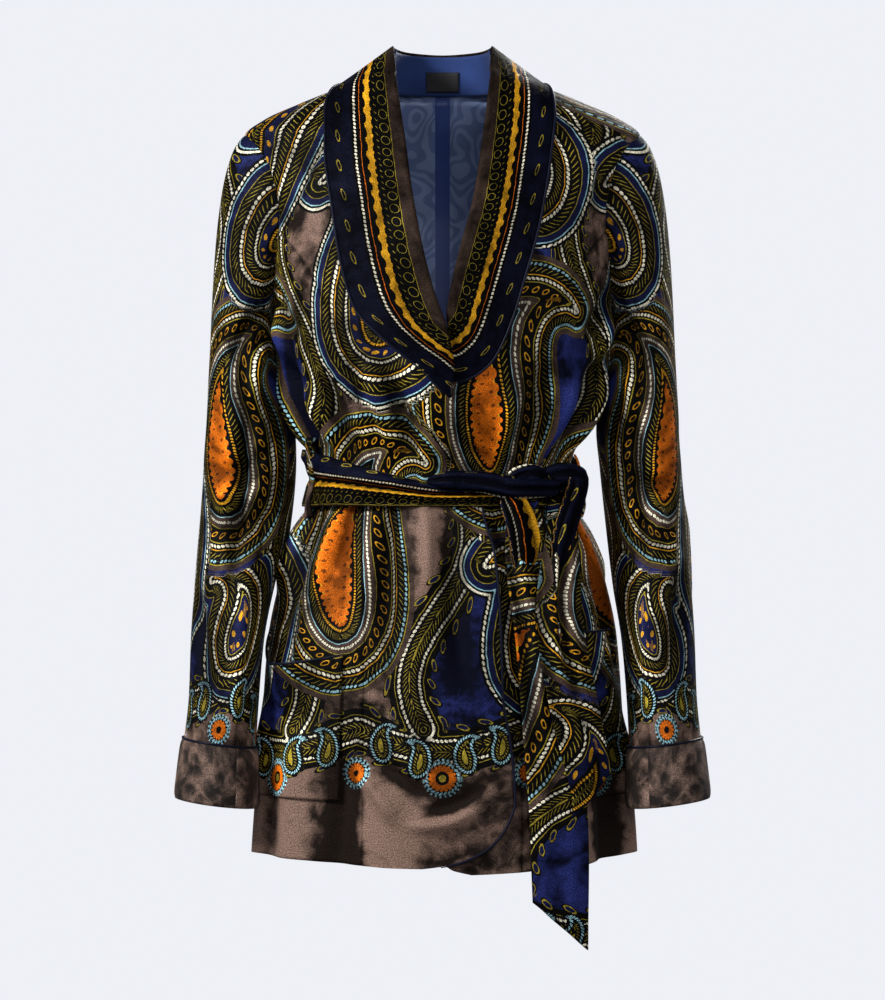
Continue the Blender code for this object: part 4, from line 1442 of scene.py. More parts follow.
    def side_panel(self, side: Side, u: Array, v: Array) -> Laid:
        """The panel under an arm: panel seam to side seam, hem to armhole.

        Args:
            side: The wearer's side.
            u: Share across, 0 to 1.
            v: Share up, 0 to 1.

        Returns:
            The cloth.
        """
        across = (u if side is Side.LEFT else 1 - u) * (1 + 2 * self.lap) - self.lap
        low = self.hem if side is Side.RIGHT else mix(self.under_hem, self.hem, across)
        top = self.armhole_height(mix(self.panel_turn, 180.0, across))
        height = mix(low, top, v)
        top_seam = self.panel_angle(top)
        on_armhole = (90.0 - self.armhole_angle(top, self.armhole_front) - top_seam) / (90.0 - top_seam)
        share = mix(across, on_armhole, ease(height, self.waist, top))
        return self.laid_at(side.value * mix(self.panel_angle(height), 90.0, share), height)

    def pocket(self, side: Side, u: Array, v: Array) -> Laid:
        """A patch pocket, whose mouth stands open: inner to outer edge, bottom to mouth.

        Args:
            side: The wearer's side.
            u: Share across, 0 to 1.
            v: Share up, 0 to 1.

        Returns:
            The cloth.
        """
        across = u if side is Side.LEFT else 1 - u
        right = side is Side.RIGHT
        mouth = self.mouth_right if right else self.mouth_left
        height = mix(self.pocket_bottom, glide(np.linspace(0.0, 1.0, len(mouth)), mouth, across), v)
        gape = (self.gape_right if right else self.gape_left) * v**3 * np.sin(math.pi * across**1.35) ** 1.4
        return self.laid_at(side.value * mix(*self.pocket_span, across), height, self.pocket_lift + gape)

    def lining(self, u: Array, v: Array) -> Laid:
        """The lining of the back, with a pleat down the middle: left to right, hem to neck.

        Args:
            u: Share across, 0 to 1.
            v: Share up, 0 to 1.

        Returns:
            The cloth.
        """
        angle = mix(*self.lining_span, u)
        from_middle = np.abs(angle - 180.0)
        top = mix(*self.lining_top, ease(from_middle, *self.lining_turn))
        height = mix(self.hem + self.lining_short, top, v)
        pleat = self.pleat * ease(-from_middle, *self.pleat_edge)
        return Laid(FIGURE.place(angle, height, pleat - self.lining_depth), FIGURE.around(angle), height)

    def build(self, finishes: Finishes) -> Array:
        """Builds the bodice.

        Args:
            finishes: The garment's materials.

        Returns:
            Points past the free edge of the right front, where its piping runs.
        """
        printed, lining = finishes.printed, finishes.lining
        common = {"depth": self.depth, "print_": BODY_PRINT}
        dip, both = self.seam_dip, (1.2 * self.seam_dip, 1.2 * self.seam_dip)
        panels = (
            (self.back, self.hem, 180.0, 120, ("neck_facing",), (dip, dip), lining),
            (self.front_left, self.under_hem, self.panel_turn, 64, ("back",), (0.0, dip), finishes.brown),
            (self.front_right, self.hem, self.panel_turn, 72, ("back", "front_left"), (dip, 0.0), finishes.brown),
        )
        for form, low, turn, columns, rests_on, seams, inner_face in panels:
            heights = self.rows(low, turn)
            over = Cloth(form.__name__, partial(self.panel, form, heights), columns, len(heights) - 1, **common)
            over.rests_on, over.seams = rests_on, seams
            over.build(printed, inner_face)
        for side in Side:
            panel = f"side_panel_{side.word}"
            side_cloth = Cloth(panel, partial(self.side_panel, side), 44, 170, **common)
            side_cloth.rests_on, side_cloth.seams = ("back",), both
            side_cloth.build(printed, lining)
            patch = Cloth(f"pocket_{side.word}", partial(self.pocket, side), 44, 50, held="laid", **common)
            patch.rests_on, patch.turn = (panel,), turned(0.0, 0.0, 3.0)
            patch.build(printed, finishes.brown)
            mouth = patch.laid.points[-1]
            cord = beyond(mouth, patch.laid.points[-4], self.mouth_out)
            Cord(patch.node, cord, self.mouth_piping).build(finishes.satin)
        inner = Cloth("back_lining", self.lining, 90, 130, Slot.SATIN, rests_on=("back",), wall=1.0)
        inner.depth = lambda across, along: np.minimum(self.depth(across, along), 0.0)
        inner.build(lining, lining)
        edge = over.laid.points[:, -1]
        free = np.flatnonzero(edge[:, 2] < self.waist)[self.piping_start :]
        return beyond(edge[free], over.laid.points[free, -4], self.piping_out)


@dataclass
class Collar:
    """Shawl collar with its piping, the facing of its stand and the label."""

    roll_radius: float = 3.0
    back_radius: float = 1.1
    turned_under: float = 13.0
    turn_share: float = 0.24
    banded: float = 74.0
    narrow: float = 60.0
    stand_reach: float = 100.0
    label_size: tuple[float, float] = (31.0, 19.0)
    label_middle: float = 22.0
    label_depth: float = 1.9
    round_part: float = 0.55
    back_span: tuple[float, float] = (0.62, 0.82)
    piping_out: float = 0.9
    right: tuple[CollarStation, ...] = rows_of(
        CollarStation,
        (9, None, -277, 7, None, -281, 9.4, 0.5), (7.2, None, -248, -19.8, None, -254, 9.4, 1),
        (1.8, None, -221, -51, None, -228, 7.4, 3), (-10, None, -187, -78, None, -199, 3, 5),
        (-21.6, None, -142.5, -91, None, -158, 2.6, 6), (-30.8, None, -91.5, -99.5, None, -105, 2.6, 6),
        (-36.4, None, -49, -106.5, None, -53.5, 2.6, 6), (-42.3, None, -4, -106.7, None, -15, 3.6, 6),
        (-47, 0, 50, -93, 2, 15.5, 3, 3), (-36, 42, 49, -75, 58, 2, 3, 3), (0, 60, 47.5, 0, 82, -12, 3, 3),
    )
    left: tuple[CollarStation, ...] = rows_of(
        CollarStation,
        (7.2, None, -262, 9.4, None, -266, 2.1, 0), (7.4, None, -232.5, 24, None, -262, 2.1, 0),
        (5.5, None, -208, 43, None, -248, 2.6, 0), (12.6, None, -169.5, 61, None, -212, 2.6, 3),
        (20.7, None, -138, 73.8, None, -170, 2.6, 5), (30.8, None, -100.5, 88.7, None, -114, 2.6, 6),
        (37.3, None, -59, 97.4, None, -61, 2.6, 6), (43.2, None, -8.6, 102, None, -18, 3.6, 6),
        (47, 0, 50, 93, 2, 15.5, 3, 3), (36, 42, 49, 75, 58, 2, 3, 3), (0, 60, 47.5, 0, 82, -12, 3, 3),
    )
    stand: tuple[Stand, ...] = rows_of(Stand, (9, 58, 57.3), (28, 50, 57.5), (46, 43.8, 57.1))

    def stations(self, side: Side) -> list[CollarStation]:
        """The stations of a half, with the chest's depths filled in and one more past the centre back.

        Args:
            side: The wearer's side.

        Returns:
            The stations, front end first.
        """
        rows = self.right if side is Side.RIGHT else self.left
        beside = rows[-2]
        whole = (*rows, beside._replace(roll_x=-beside.roll_x, edge_x=-beside.edge_x))
        filled = []
        for row in whole:
            if row.roll_y is None:
                roll_lift = row.lift + row.rise
                roll = FIGURE.place(FIGURE.angle_at(row.roll_x, row.roll_z), row.roll_z, roll_lift)
                edge = FIGURE.place(FIGURE.angle_at(row.edge_x, row.edge_z), row.edge_z, row.lift)
                row = row._replace(roll_y=float(roll[1]), edge_y=float(edge[1]))
            filled.append(row)
        return filled

    def fall(self, rows: Sequence[CollarStation], along: Array, across: Array) -> Array:
        """Points of the fall of the collar, from the roll to the outer edge.

        Args:
            rows: The collar's stations.
            along: Share of the way to the centre back.
            across: Share of the way from the roll to the edge.

        Returns:
            The points.
        """
        at = along * (len(rows) - 2)
        index = np.arange(len(rows))
        columns = {name: glide(index, [getattr(row, name) for row in rows], at) for name in CollarStation._fields}
        roll = np.stack([columns[name] for name in ("roll_x", "roll_y", "roll_z")], axis=-1)
        edge = np.stack([columns[name] for name in ("edge_x", "edge_y", "edge_z")], axis=-1)
        point = mix(roll, edge, across[..., None])
        for _ in range(3):
            point = FIGURE.clear(point, columns["lift"] + columns["rise"] * (1 - across) ** 2)
        return point

    def half(self, side: Side, rows: Sequence[CollarStation], u: Array, v: Array) -> Laid:
        """Half of the collar, front end to centre back: a part turned under, a round roll, then the fall.

        Args:
            side: The wearer's side.
            rows: The half's stations.
            u: Share across, 0 to 1.
            v: Share up, 0 to 1.

        Returns:
            The cloth.
        """
        share = v if side is Side.RIGHT else 1 - v
        over = clamp((share - self.turn_share) / (1 - self.turn_share))
        point = self.fall(rows, u, over)
        roll = self.fall(rows, u, np.zeros_like(u))
        inward = unit(roll - self.fall(rows, u, np.full_like(u, 0.06)))
        ahead = self.fall(rows, clamp(u + 0.01), 0 * u) - self.fall(rows, clamp(u - 0.01), 0 * u)
        outward = -unit(np.cross(inward, ahead)) * side.value
        radius = mix(self.roll_radius, self.back_radius, ease(u, *self.back_span))[..., None]
        radius = radius * ease(u, 0.0, 0.08)[..., None]
        bend = clamp(1 - share / self.turn_share)
        round_share = clamp(bend / self.round_part)[..., None] * math.pi
        flat_run = clamp((bend - self.round_part) / (1 - self.round_part))[..., None] * self.turned_under
        middle = roll - outward * radius
        wrapped = middle + radius * (outward * np.cos(round_share) + inward * np.sin(round_share))
        wrapped = wrapped - inward * flat_run * ease(u, 0.0, 0.12)[..., None]
        point = np.where((share < self.turn_share)[..., None], wrapped, point)
        reach = np.concatenate([np.zeros_like(u[:1]), np.cumsum(steps(point), axis=0)])
        from_edge = reach[-1:] - reach if side is Side.RIGHT else reach
        chord = np.linalg.norm(self.fall(rows, u, np.ones_like(u)) - roll, axis=-1)
        from_edge = from_edge * self.banded / np.maximum(chord, self.narrow)
        runs = steps(point[-1 if side is Side.RIGHT else 0])
        length = np.concatenate([[0.0], np.cumsum(runs)])
        return Laid(point, from_edge, length[None] + 0 * u)

    def facing(self, u: Array, v: Array) -> Laid:
        """Inside of the collar stand, round the back of the neck.

        Args:
            u: Share across, 0 to 1.
            v: Share up, 0 to 1.

        Returns:
            The cloth.
        """
        angle = mix(180.0 - self.stand_reach, 180.0 + self.stand_reach, u)
        height = mix(self.stand[0].height, self.stand[-1].height, v)
        half_width = read(self.stand, "half_width", height)
        depth = read(self.stand, "back", height)
        turn = np.radians(angle)
        return Laid(np.stack([half_width * np.sin(turn), -depth * np.cos(turn), height], axis=-1), angle, height)

    def label(self, u: Array, v: Array) -> Laid:
        """Bare woven label on the facing, at the centre back.

        Args:
            u: Share across, 0 to 1.
            v: Share up, 0 to 1.

        Returns:
            The cloth.
        """
        height = self.label_middle + (v - 0.5) * self.label_size[1]
        across = (0.5 - u) * self.label_size[0]
        half_width = read(self.stand, "half_width", height)
        inside_ = read(self.stand, "back", height) * np.sqrt(1 - (across / half_width) ** 2) - self.label_depth
        return Laid(np.stack([across, inside_, height], axis=-1), across, height)

    def build(self, finishes: Finishes) -> None:
        """Builds the collar, its piping, the facing and the label.

        Args:
            finishes: The garment's materials.
        """
        for side in Side:
            name = f"collar_{side.word}"
            rests = (f"front_{side.word}", "back")
            form = partial(self.half, side, self.stations(side))
            half = Cloth(name, form, 150, 44, Slot.NAVY, "folded", rests, wall=1.6)
            half.build(finishes.collar, finishes.brown)
            points = half.laid.points if side is Side.RIGHT else half.laid.points[::-1]
            edge, inner = points[-1, 3:], points[-4, 3:]
            Cord(f"collar_piping_{side.word}", beyond(edge, inner, self.piping_out)).build(finishes.satin)
        facing = Cloth("neck_facing", self.facing, 64, 14, Slot.SATIN, rests_on=("back",), wall=1.0)
        facing.build(finishes.facing, finishes.facing)
        label = Cloth("label", self.label, 16, 10, Slot.LABEL, "laid", ("neck_facing",), wall=0.8)
        label.build(finishes.label, finishes.label)


@dataclass
class Sleeve:
    """A two-piece sleeve with its turned-back cuff and the cuff's piping."""

    side: Side
    bodice: Bodice
    sections: tuple[SleeveSection, ...]
    folds: tuple[Fold, ...]
    cuff_folds: tuple[Fold, ...]
    front_seam: float = 120.0
    back_seam: float = 240.0
    cap_end: float = -236.0
    end: float = -644.0
    cap_share: float = 0.34
    cap_top: tuple[float, float, float] = (84.0, 0.0, -42.0)
    cap_under: tuple[float, float, float] = (14.0, 0.0, -16.0)
    cap_spread: float = 8.0
    landing_top: tuple[float, float, float] = (10.0, 0.0, -230.0)
    landing_under: tuple[float, float, float] = (4.0, 0.0, -42.0)
    cuff_top: float = -594.0
    cuff_bottom: float = -648.0
    cuff_lift: tuple[float, float] = (5.5, 3.0)
    cuff_round: float = 1.6
    piping_out: float = 0.6
    cuff_fade: float = 60.0
    fold_gain: float = 2.6
    seam_dip: float = 1.3
    tuck: float = 1.03
    tuck_depth: float = 1.4

    def tube(self, angle: Array, height: Array, lift: Array | float = 0.0) -> Array:
        """Plain part of the sleeve. Angle 0 is the outside of the arm, 90 its front.

        Args:
            angle: Angles of the points, in degrees.
            height: Heights of the points.
            lift: Distance off the plain sleeve.

        Returns:
            The points.
        """
        turn = np.radians(angle)
        middle_x, middle_y, half_width, half_depth, tilt = (
            read(self.sections, column, height) for column in SleeveSection._fields[1:]
        )
        out = (half_width + lift) * np.cos(turn)
        x = self.side.value * (middle_x + out)
        return np.stack([x, middle_y - (half_depth + lift) * np.sin(turn), height + tilt * out], axis=-1)

    def cap(self, angle: Array, share: Array) -> Array:
        """Sleeve from just under the armhole's edge down to where it becomes a plain tube.

        Args:
            angle: Angles of the points, in degrees.
            share: Share of the way down the cap.

        Returns:
            The points.
        """
        turn = np.radians(angle)
        reach = np.where(np.sin(turn) > 0, self.bodice.armhole_front, self.bodice.armhole_back) * self.tuck
        height = mix(self.bodice.armhole_height(np.array(90.0)), self.bodice.armhole_height(angle), self.tuck)
        seam = FIGURE.place(90.0 - reach * np.sin(turn), height, -self.tuck_depth)
        mirror = np.array([self.side.value, 1.0, 1.0])
        tube = self.tube(angle, np.full_like(turn, self.cap_end)) * mirror
        over = ((1 + np.cos(turn)) / 2)[..., None]
        leaving = mix(np.array(self.cap_under), np.array(self.cap_top), over)
        leaving[..., 1] = leaving[..., 1] - self.cap_spread * np.sin(turn)
        landing = mix(np.array(self.landing_under), np.array(self.landing_top), over)
        return hermite(share[..., None], seam, leaving, tube, landing) * mirror

    def piece(self, start: float, finish: float, u: Array, v: Array) -> Laid:
        """One piece between two lengthwise seams, cuff to shoulder.

        Args:
            start: Angle of the first seam.
            finish: Angle of the last seam.
            u: Share across, 0 to 1.
            v: Share up, 0 to 1.

        Returns:
            The cloth.
        """
        angle = mix(start, finish, u if self.side is Side.RIGHT else 1 - u)
        down = 1 - v
        cap = self.cap(angle, clamp(down / self.cap_share))
        plain = clamp((down - self.cap_share) / (1 - self.cap_share))
        tube = self.tube(angle, mix(self.cap_end, self.end, plain))
        point = np.where((down < self.cap_share)[..., None], cap, tube)
        return Laid(point, np.radians(angle) * SLEEVE_RADIUS, point[..., 2])

    def cuff(self, u: Array, v: Array) -> Laid:
        """Turned-back cuff round the end of the sleeve, closed at the front seam.

        Args:
            u: Share across, 0 to 1.
            v: Share up, 0 to 1.

        Returns:
            The cloth.
        """
        angle = mix(self.front_seam, self.front_seam + 360.0, u if self.side is Side.RIGHT else 1 - u)
        height = mix(self.cuff_bottom, self.cuff_top, v)
        lift = mix(*self.cuff_lift, v) - self.cuff_round * (2 * v - 1) ** 8
        return Laid(self.tube(angle, height, lift), np.radians(angle) * SLEEVE_RADIUS, height)

    def depth(self, across: Array, along: Array) -> Array:
        """Creases of the sleeve, which fade out under the cuff and at the armhole seam."""
        return self.fold_gain * creased(self.folds, across, along) * ease(along, self.end, self.end + self.cuff_fade)

    def build(self, finishes: Finishes) -> None:
        """Builds both pieces, the cuff and its piping.

        Args:
            finishes: The garment's materials.
        """
        word = self.side.word
        printed, lining = finishes.printed, finishes.lining
        common = {"depth": self.depth, "print_": SLEEVE_PRINT}
        spans = (("upper", self.back_seam - 360.0, self.front_seam, 66), ("under", self.front_seam, self.back_seam, 34))
        for name, start, finish, columns in spans:
            form = partial(self.piece, start, finish)
            rests = ("back", f"front_{word}")
            seams = (self.seam_dip, self.seam_dip)
            sleeve = Cloth(f"{name}_sleeve_{word}", form, columns, 200, rests_on=rests, seams=seams, **common)
            sleeve.build(printed, lining)
        cuff = Cloth(f"cuff_{word}", self.cuff, 150, 24, Slot.BROWN, "folded", (f"upper_sleeve_{word}",))
        cuff.depth = lambda across, along: creased(self.cuff_folds, across, along)
        cuff.build(finishes.brown, finishes.brown)
        top = beyond(cuff.laid.points[-1, :-1], cuff.laid.points[-4, :-1], self.piping_out)
        Cord(f"cuff_piping_{word}", top, closed=True).build(finishes.satin)


RIGHT_SECTIONS = rows_of(
    SleeveSection,
    (-236, 185.5, 4, 31, 53, 0), (-263, 183, 4, 35, 52, 0.01), (-306, 178.5, 3, 41.5, 50, 0.02),
    (-340, 179, 0, 43, 49, 0.03), (-400, 183.5, -10, 42, 48, 0.05), (-446, 191.5, -22, 37, 47, 0.07),
    (-500, 198, -36, 33.5, 46, 0.09), (-560, 201, -49, 32, 45, 0.11), (-600, 204, -57, 33, 45, 0.13),
    (-650, 206.5, -64, 34, 46, 0.13),
)
LEFT_SECTIONS = rows_of(
    SleeveSection,
    (-236, 185.5, 4, 31, 53, 0), (-263, 183, 4, 35, 52, 0.01), (-306, 181.5, 3, 38.5, 50, 0.02),
    (-340, 184, 0, 38, 49, 0.03), (-400, 189, -10, 37, 48, 0.05), (-446, 193, -22, 36, 47, 0.07),
    (-500, 198.5, -36, 33.5, 46, 0.09), (-560, 201.5, -49, 32, 45, 0.11), (-600, 204, -57, 33, 45, 0.13),
    (-650, 206.5, -64, 34, 46, 0.13),
)
RIGHT_CREASES = rows_of(
    Fold,
    ((108, -190), (52, -250), 6, 9, -3.5), ((73, -226), (70, -470), 2, 6, -3.4), ((57, -240), (54, -440), 3, 8, 1.6),
    ((112, -222), (70, -300), 5, 9, 3), ((104, -322), (30, -350), -6, 8, -3), ((100, -352), (34, -372), -5, 8, 2.6),
    ((108, -392), (42, -402), 4, 9, -3), ((20, -440), (64, -560), 5, 12, -3), ((86, -430), (92, -590), -3, 9, 3),
    ((-20, -330), (-40, -470), 4, 14, 2.6), ((-80, -300), (-110, -360), 4, 12, -3.5),
    ((-76, -372), (-120, -410), 4, 11, -3.5), ((180, -300), (190, -420), 0, 11, -3),
)
LEFT_CREASES = rows_of(
    Fold,
    ((110, -196), (58, -262), 6, 9, -3.5), ((74, -232), (76, -440), -2, 6, -3), ((58, -246), (60, -420), -3, 8, 1.4),
    ((104, -240), (66, -318), 4, 9, 3), ((106, -340), (36, -360), -5, 8, -3), ((104, -376), (44, -396), 5, 8, 2.6),
    ((30, -420), (72, -540), 5, 12, -3), ((92, -450), (96, -592), 2, 9, 2.6), ((-16, -350), (-34, -500), -4, 14, 2.6),
    ((-84, -310), (-114, -372), -4, 12, -3.5), ((-78, -390), (-118, -430), 3, 11, -3.5),
    ((182, -310), (190, -430), 0, 11, -3),
)
RIGHT_CUFF_CREASES = rows_of(
    Fold,
    ((70, -660), (60, -580), 3, 13, -2.6, True), ((20, -660), (30, -590), 3, 15, 2.2, True),
    ((190, -660), (200, -590), 0, 14, -2.2, True),
)
LEFT_CUFF_CREASES = rows_of(
    Fold,
    ((78, -660), (86, -584), -4, 7, 2.6, True), ((60, -660), (68, -590), -4, 8, -2.6, True),
    ((18, -660), (10, -590), 2, 15, 1.8, True), ((196, -660), (188, -590), 0, 14, -2.2, True),
)


@dataclass
class Belt:
    """The tied belt: its two stretches round the waist, the knot, the hanging ends and the loops."""

    bodice: Bodice
    lift: float = 10.0
    side_lift: float = 6.0
    side_span: tuple[float, float] = (50.0, 76.0)
    bottom: float = -380.0
    height: float = 58.0
    crown: float = 2.6
    band_start: float = 66.0
    join: float = 92.0
    left_start: float = 36.0
    right_loop: float = -72.0
    left_loop: float = 83.0
    loop_past: float = 9.0
    loop_half: float = 4.5
    loop_sewn: float = 2.1
    loop_gap: float = 2.6
    top: tuple[BeltTop, ...] = rows_of(
        BeltTop,
        (-268, 16), (-236, 0), (-90, 0), (-62, 6), (-30, 24), (0, 37), (28, 36), (30, 36),
    )
    left_top: tuple[BeltTop, ...] = rows_of(BeltTop, (36, 26), (52, 21), (80, 16))
    long_tail: tuple[TailStation, ...] = rows_of(
        TailStation,
        (-376, 67, 12, 12.6), (-430, 75, 19, 11), (-500, 88, 24, 11), (-580, 95, 25, 11), (-680, 101, 25, 10.5),
        (-756, 102.5, 23.5, 10),
    )
    short_tail: tuple[TailStation, ...] = rows_of(
        TailStation,
        (-376, 98, 10, 14.6), (-410, 99, 13, 17), (-470, 98, 18, 17), (-560, 111, 20, 16.5), (-640, 127.5, 17.5, 16),
    )
    knot_height: float = -357.0
    strand_grid: tuple[int, int] = (40, 48)
    strand_creases: tuple[float, float] = (0.16, 0.06)
    weld: float = 0.0001
    # Twist of each strand of the knot; then across, rise, lift, half width and half depth along it.
    strands: tuple[tuple[float, tuple[tuple[float, ...], ...]], ...] = (
        (200, ((-14, 0, 13, 7, 5), (10, 0.5, 18, 9, 7), (32, -1, 20, 9, 7), (56, -9, 25, 9.5, 9),
               (80, -9, 25, 9.5, 9), (92, -5, 20, 8, 6))),
        (60, ((80, 5, 14, 9, 4), (92, 9, 24, 12, 6), (101, -4, 29, 13.5, 7), (101, -26, 26, 13, 6),
              (99, -52, 20, 13, 5), (98, -84, 11, 13, 4))),
        (150, ((54, 0, 18, 6, 4), (60, 9, 24, 7.5, 6), (68, 14, 28, 8, 6), (76, 9, 25, 7.5, 6), (79, -4, 20, 6, 4))),
        (40, ((54, -12, 14, 9, 5), (60, -24, 17, 13, 6), (66, -40, 16, 15, 6), (71, -58, 12, 16, 5),
              (76, -84, 5, 16, 4))),
    )
    long_slant: float = 45.0
    short_slant: float = -40.0
    tail_turn: float = 31.0
    tail_print: float = 60.0
    pleats: tuple[Fold, ...] = rows_of(
        Fold,
        ((-240, 40), (90, 46), 3, 5, 3.4, True), ((-210, 30), (90, 33), 2, 4, -2.6, True),
        ((-190, 18), (90, 20), -2, 5, 3, True), ((-120, 9), (90, 8), 2, 4, -2.2, True),
        ((260, 40), (70, 44), 3, 5, 2.8, True), ((240, 22), (70, 24), 2, 5, -2.2, True),
        ((-560, 40), (-380, 30), 3, 7, -1.6), ((-500, 18), (-330, 26), 3, 7, 1.6),
    )
    long_folds: tuple[Fold, ...] = rows_of(
        Fold,
        ((-4, -250), (-9, -620), 2, 4.5, 4.6), ((5, -250), (3, -600), -2, 4, -4), ((11, -260), (13, -660), 2, 5, 4.2),
        ((-12, -260), (-17, -700), 2, 5, -3.4), ((4, -540), (10, -800), -3, 8, 2.6),
        ((-14, -560), (-12, -800), 2, 7, 2.2),
    )
    short_folds: tuple[Fold, ...] = rows_of(
        Fold,
        ((-3, -260), (-8, -560), -2, 3.6, 4.4), ((4, -260), (1, -600), 2, 3.6, -3.8),
        ((8, -260), (12, -640), 2, 4, 4), ((-12, -270), (-15, -600), 2, 4, -3), ((-8, -470), (-4, -690), -2, 6, 2.8),
    )

    def lifted(self, angle: Array) -> Array:
        """How far the belt stands off the body, less at the sides and the back than over the lapped fronts."""
        return mix(self.lift, self.side_lift, ease(np.abs(angle), *self.side_span))

    def stretch(self, first: float, last: float, top: Sequence[BeltTop], u: Array, v: Array) -> Laid:
        """The belt between two angles, bottom to top, rounded a little across its height.

        Args:
            first: Angle where it starts.
            last: Angle where it ends.
            top: How far its top edge drops, by angle.
            u: Share across, 0 to 1.
            v: Share up, 0 to 1.

        Returns:
            The cloth.
        """
        angle = mix(first, last, u)
        height = mix(self.bottom, self.bottom + self.height - read(top, "drop", angle), v)
        lift = self.lifted(angle) + self.crown * np.sqrt(clamp(1 - (2 * v - 1) ** 2))
        return Laid(FIGURE.place(angle, height, lift), FIGURE.around(angle), v * self.height)

    def tail(self, stations: Sequence[TailStation], slant: float, u: Array, v: Array) -> Laid:
        """A hanging end, cut on a slant: edge to edge, tip to knot.

        Args:
            stations: The end's stations.
            slant: How far the cut slants.
            u: Share across, 0 to 1.
            v: Share up, 0 to 1.

        Returns:
            The cloth.
        """
        height = mix(stations[-1].height - slant * (u - 0.5), stations[0].height, v)
        half_width = read(stations, "half_width", height)
        across = read(stations, "middle", height) + (2 * u - 1) * half_width
        angle = FIGURE.angle_at(across, height)
        return Laid(FIGURE.place(angle, height, read(stations, "lift", height)), (2 * u - 1) * half_width, height)

    def under_loop(self, side: Side) -> float:
        """Height of the belt where it passes under a loop."""
        return self.height - (self.left_top[-1].drop if side is Side.LEFT else 0.0)

    def raised(self, side: Side, height: Array) -> Array:
        """0 where a loop is sewn to the body, 1 where it stands over the belt.

        Args:
            side: The wearer's side.
            height: Heights of the points.

        Returns:
            Shares from 0 to 1.
        """
        half = self.under_loop(side) / 2
        from_middle = (height - self.bottom - half) / (half + self.loop_past)
        return 1 - clamp(np.abs(from_middle)) ** 4

    def loop_depth(self, side: Side, across: Array, along: Array) -> Array:
        """A loop follows the body's folds where it is sewn to the body."""
        return self.bodice.depth(across, along) * (1 - self.raised(side, along))

    def loop(self, side: Side, u: Array, v: Array) -> Laid:
        """A belt loop, which stands over the belt at a side seam, bottom to top.

        Args:
            side: The wearer's side.
            u: Share across, 0 to 1.
            v: Share up, 0 to 1.

        Returns:
            The cloth.
        """
        low, high = self.bottom - self.loop_past, self.bottom + self.under_loop(side) + self.loop_past
        height = mix(low, high, v)
        middle = self.right_loop if side is Side.RIGHT else self.left_loop
        half = np.degrees(self.loop_half / read(FIGURE.sections, "half_width", height))
        angle = middle + (2 * u - 1) * half
        over_belt = self.lifted(angle) + self.crown + self.loop_gap
        lift = mix(self.loop_sewn, over_belt, self.raised(side, height))
        return Laid(FIGURE.place(angle, height, lift), FIGURE.around(angle), height)

    def strand(self, route: Array, wide: Array, deep: Array, twist: float) -> tuple[bmesh.types.BMesh, Laid, Array]:
        """A folded strand of the knot: a closed flat tube along a route, creased along its length.

        Args:
            route: Points of the middle line.
            wide: Half widths at those points.
            deep: Half depths at those points.
            twist: Turn of the creases along the strand, in degrees.

        Returns:
            The strand's mesh, its coordinates and how far its creases move each point out.
        """
        around, stations = self.strand_grid
        broad, fine = self.strand_creases
        grid = bmesh.new()
        bmesh.ops.create_grid(grid, x_segments=around, y_segments=stations, size=0.5)
        u, v = (np.array([vertex.co[i] for vertex in grid.verts]) + 0.5 for i in (0, 1))
        index = np.arange(len(route))
        middle = np.stack([glide(index, route[:, i], v * index[-1]) for i in range(3)], axis=-1)
        step = 0.01 * index[-1]
        after = np.stack([glide(index, route[:, i], v * index[-1] + step) for i in range(3)], axis=-1)
        before = np.stack([glide(index, route[:, i], v * index[-1] - step) for i in range(3)], axis=-1)
        ahead = unit(after - before)
        outward = unit(middle * np.array([1.0, 1.0, 0.0]))
        sideways = unit(np.cross(ahead, outward))
        outward = np.cross(sideways, ahead)
        closed = np.sqrt(clamp(1 - (2 * v - 1) ** 8))
        turn = 2 * math.pi * u
        crease = 1 + broad * np.cos(5 * turn + math.radians(twist) * v) + fine * np.cos(9 * turn - 4 * v)
        half_wide = glide(index, wide, v * index[-1]) * closed * crease
        half_deep = glide(index, deep, v * index[-1]) * closed * crease
        points = middle + sideways * (half_wide * np.cos(turn))[:, None]
        points = points + outward * (half_deep * np.sin(turn))[:, None]
        for vertex, point in zip(grid.verts, points * MM):
            vertex.co = point
        length = float(steps(route).sum())
        # The crease values, scaled up, drive the painted crease shade and highlight of the knot.
        return grid, Laid(points, u * 4 * float(np.mean(wide)), v * length), (crease - 1) * 4 * DEEP_FOLD

    def knot(self, finish: bpy.types.Material) -> None:
        """Builds the knot: a strand across the belt, the band that wraps it, a tucked fold and the tail's start.

        Args:
            finish: The belt's velvet.
        """
        pieces = []
        for number, (twist, stations) in enumerate(self.strands):
            across, rise, lift, wide, deep = np.array(stations, float).T
            heights = self.knot_height + rise
            route = FIGURE.place(FIGURE.angle_at(across, heights), heights, lift)
            grid, laid, fold = self.strand(route, wide, deep, twist)
            piece = link_mesh(f"knot_strand_{number}", grid)
            dress(piece.data, laid, None, turned(0.0, 9.0 * number - 4.0, 0.0), fold)
            whole = bmesh.new()
            whole.from_mesh(piece.data)
            bmesh.ops.remove_doubles(whole, verts=whole.verts, dist=self.weld)
            bmesh.ops.recalc_face_normals(whole, faces=whole.faces)
            whole.to_mesh(piece.data)
            whole.free()
            piece.data.materials.append(finish)
            pieces.append(piece)
        with bpy.context.temp_override(active_object=pieces[0], selected_editable_objects=pieces):
            bpy.ops.object.join()
        pieces[0].name = "belt_knot_cloth"
        settle(pieces[0], "belt_knot", Slot.PRINTED)

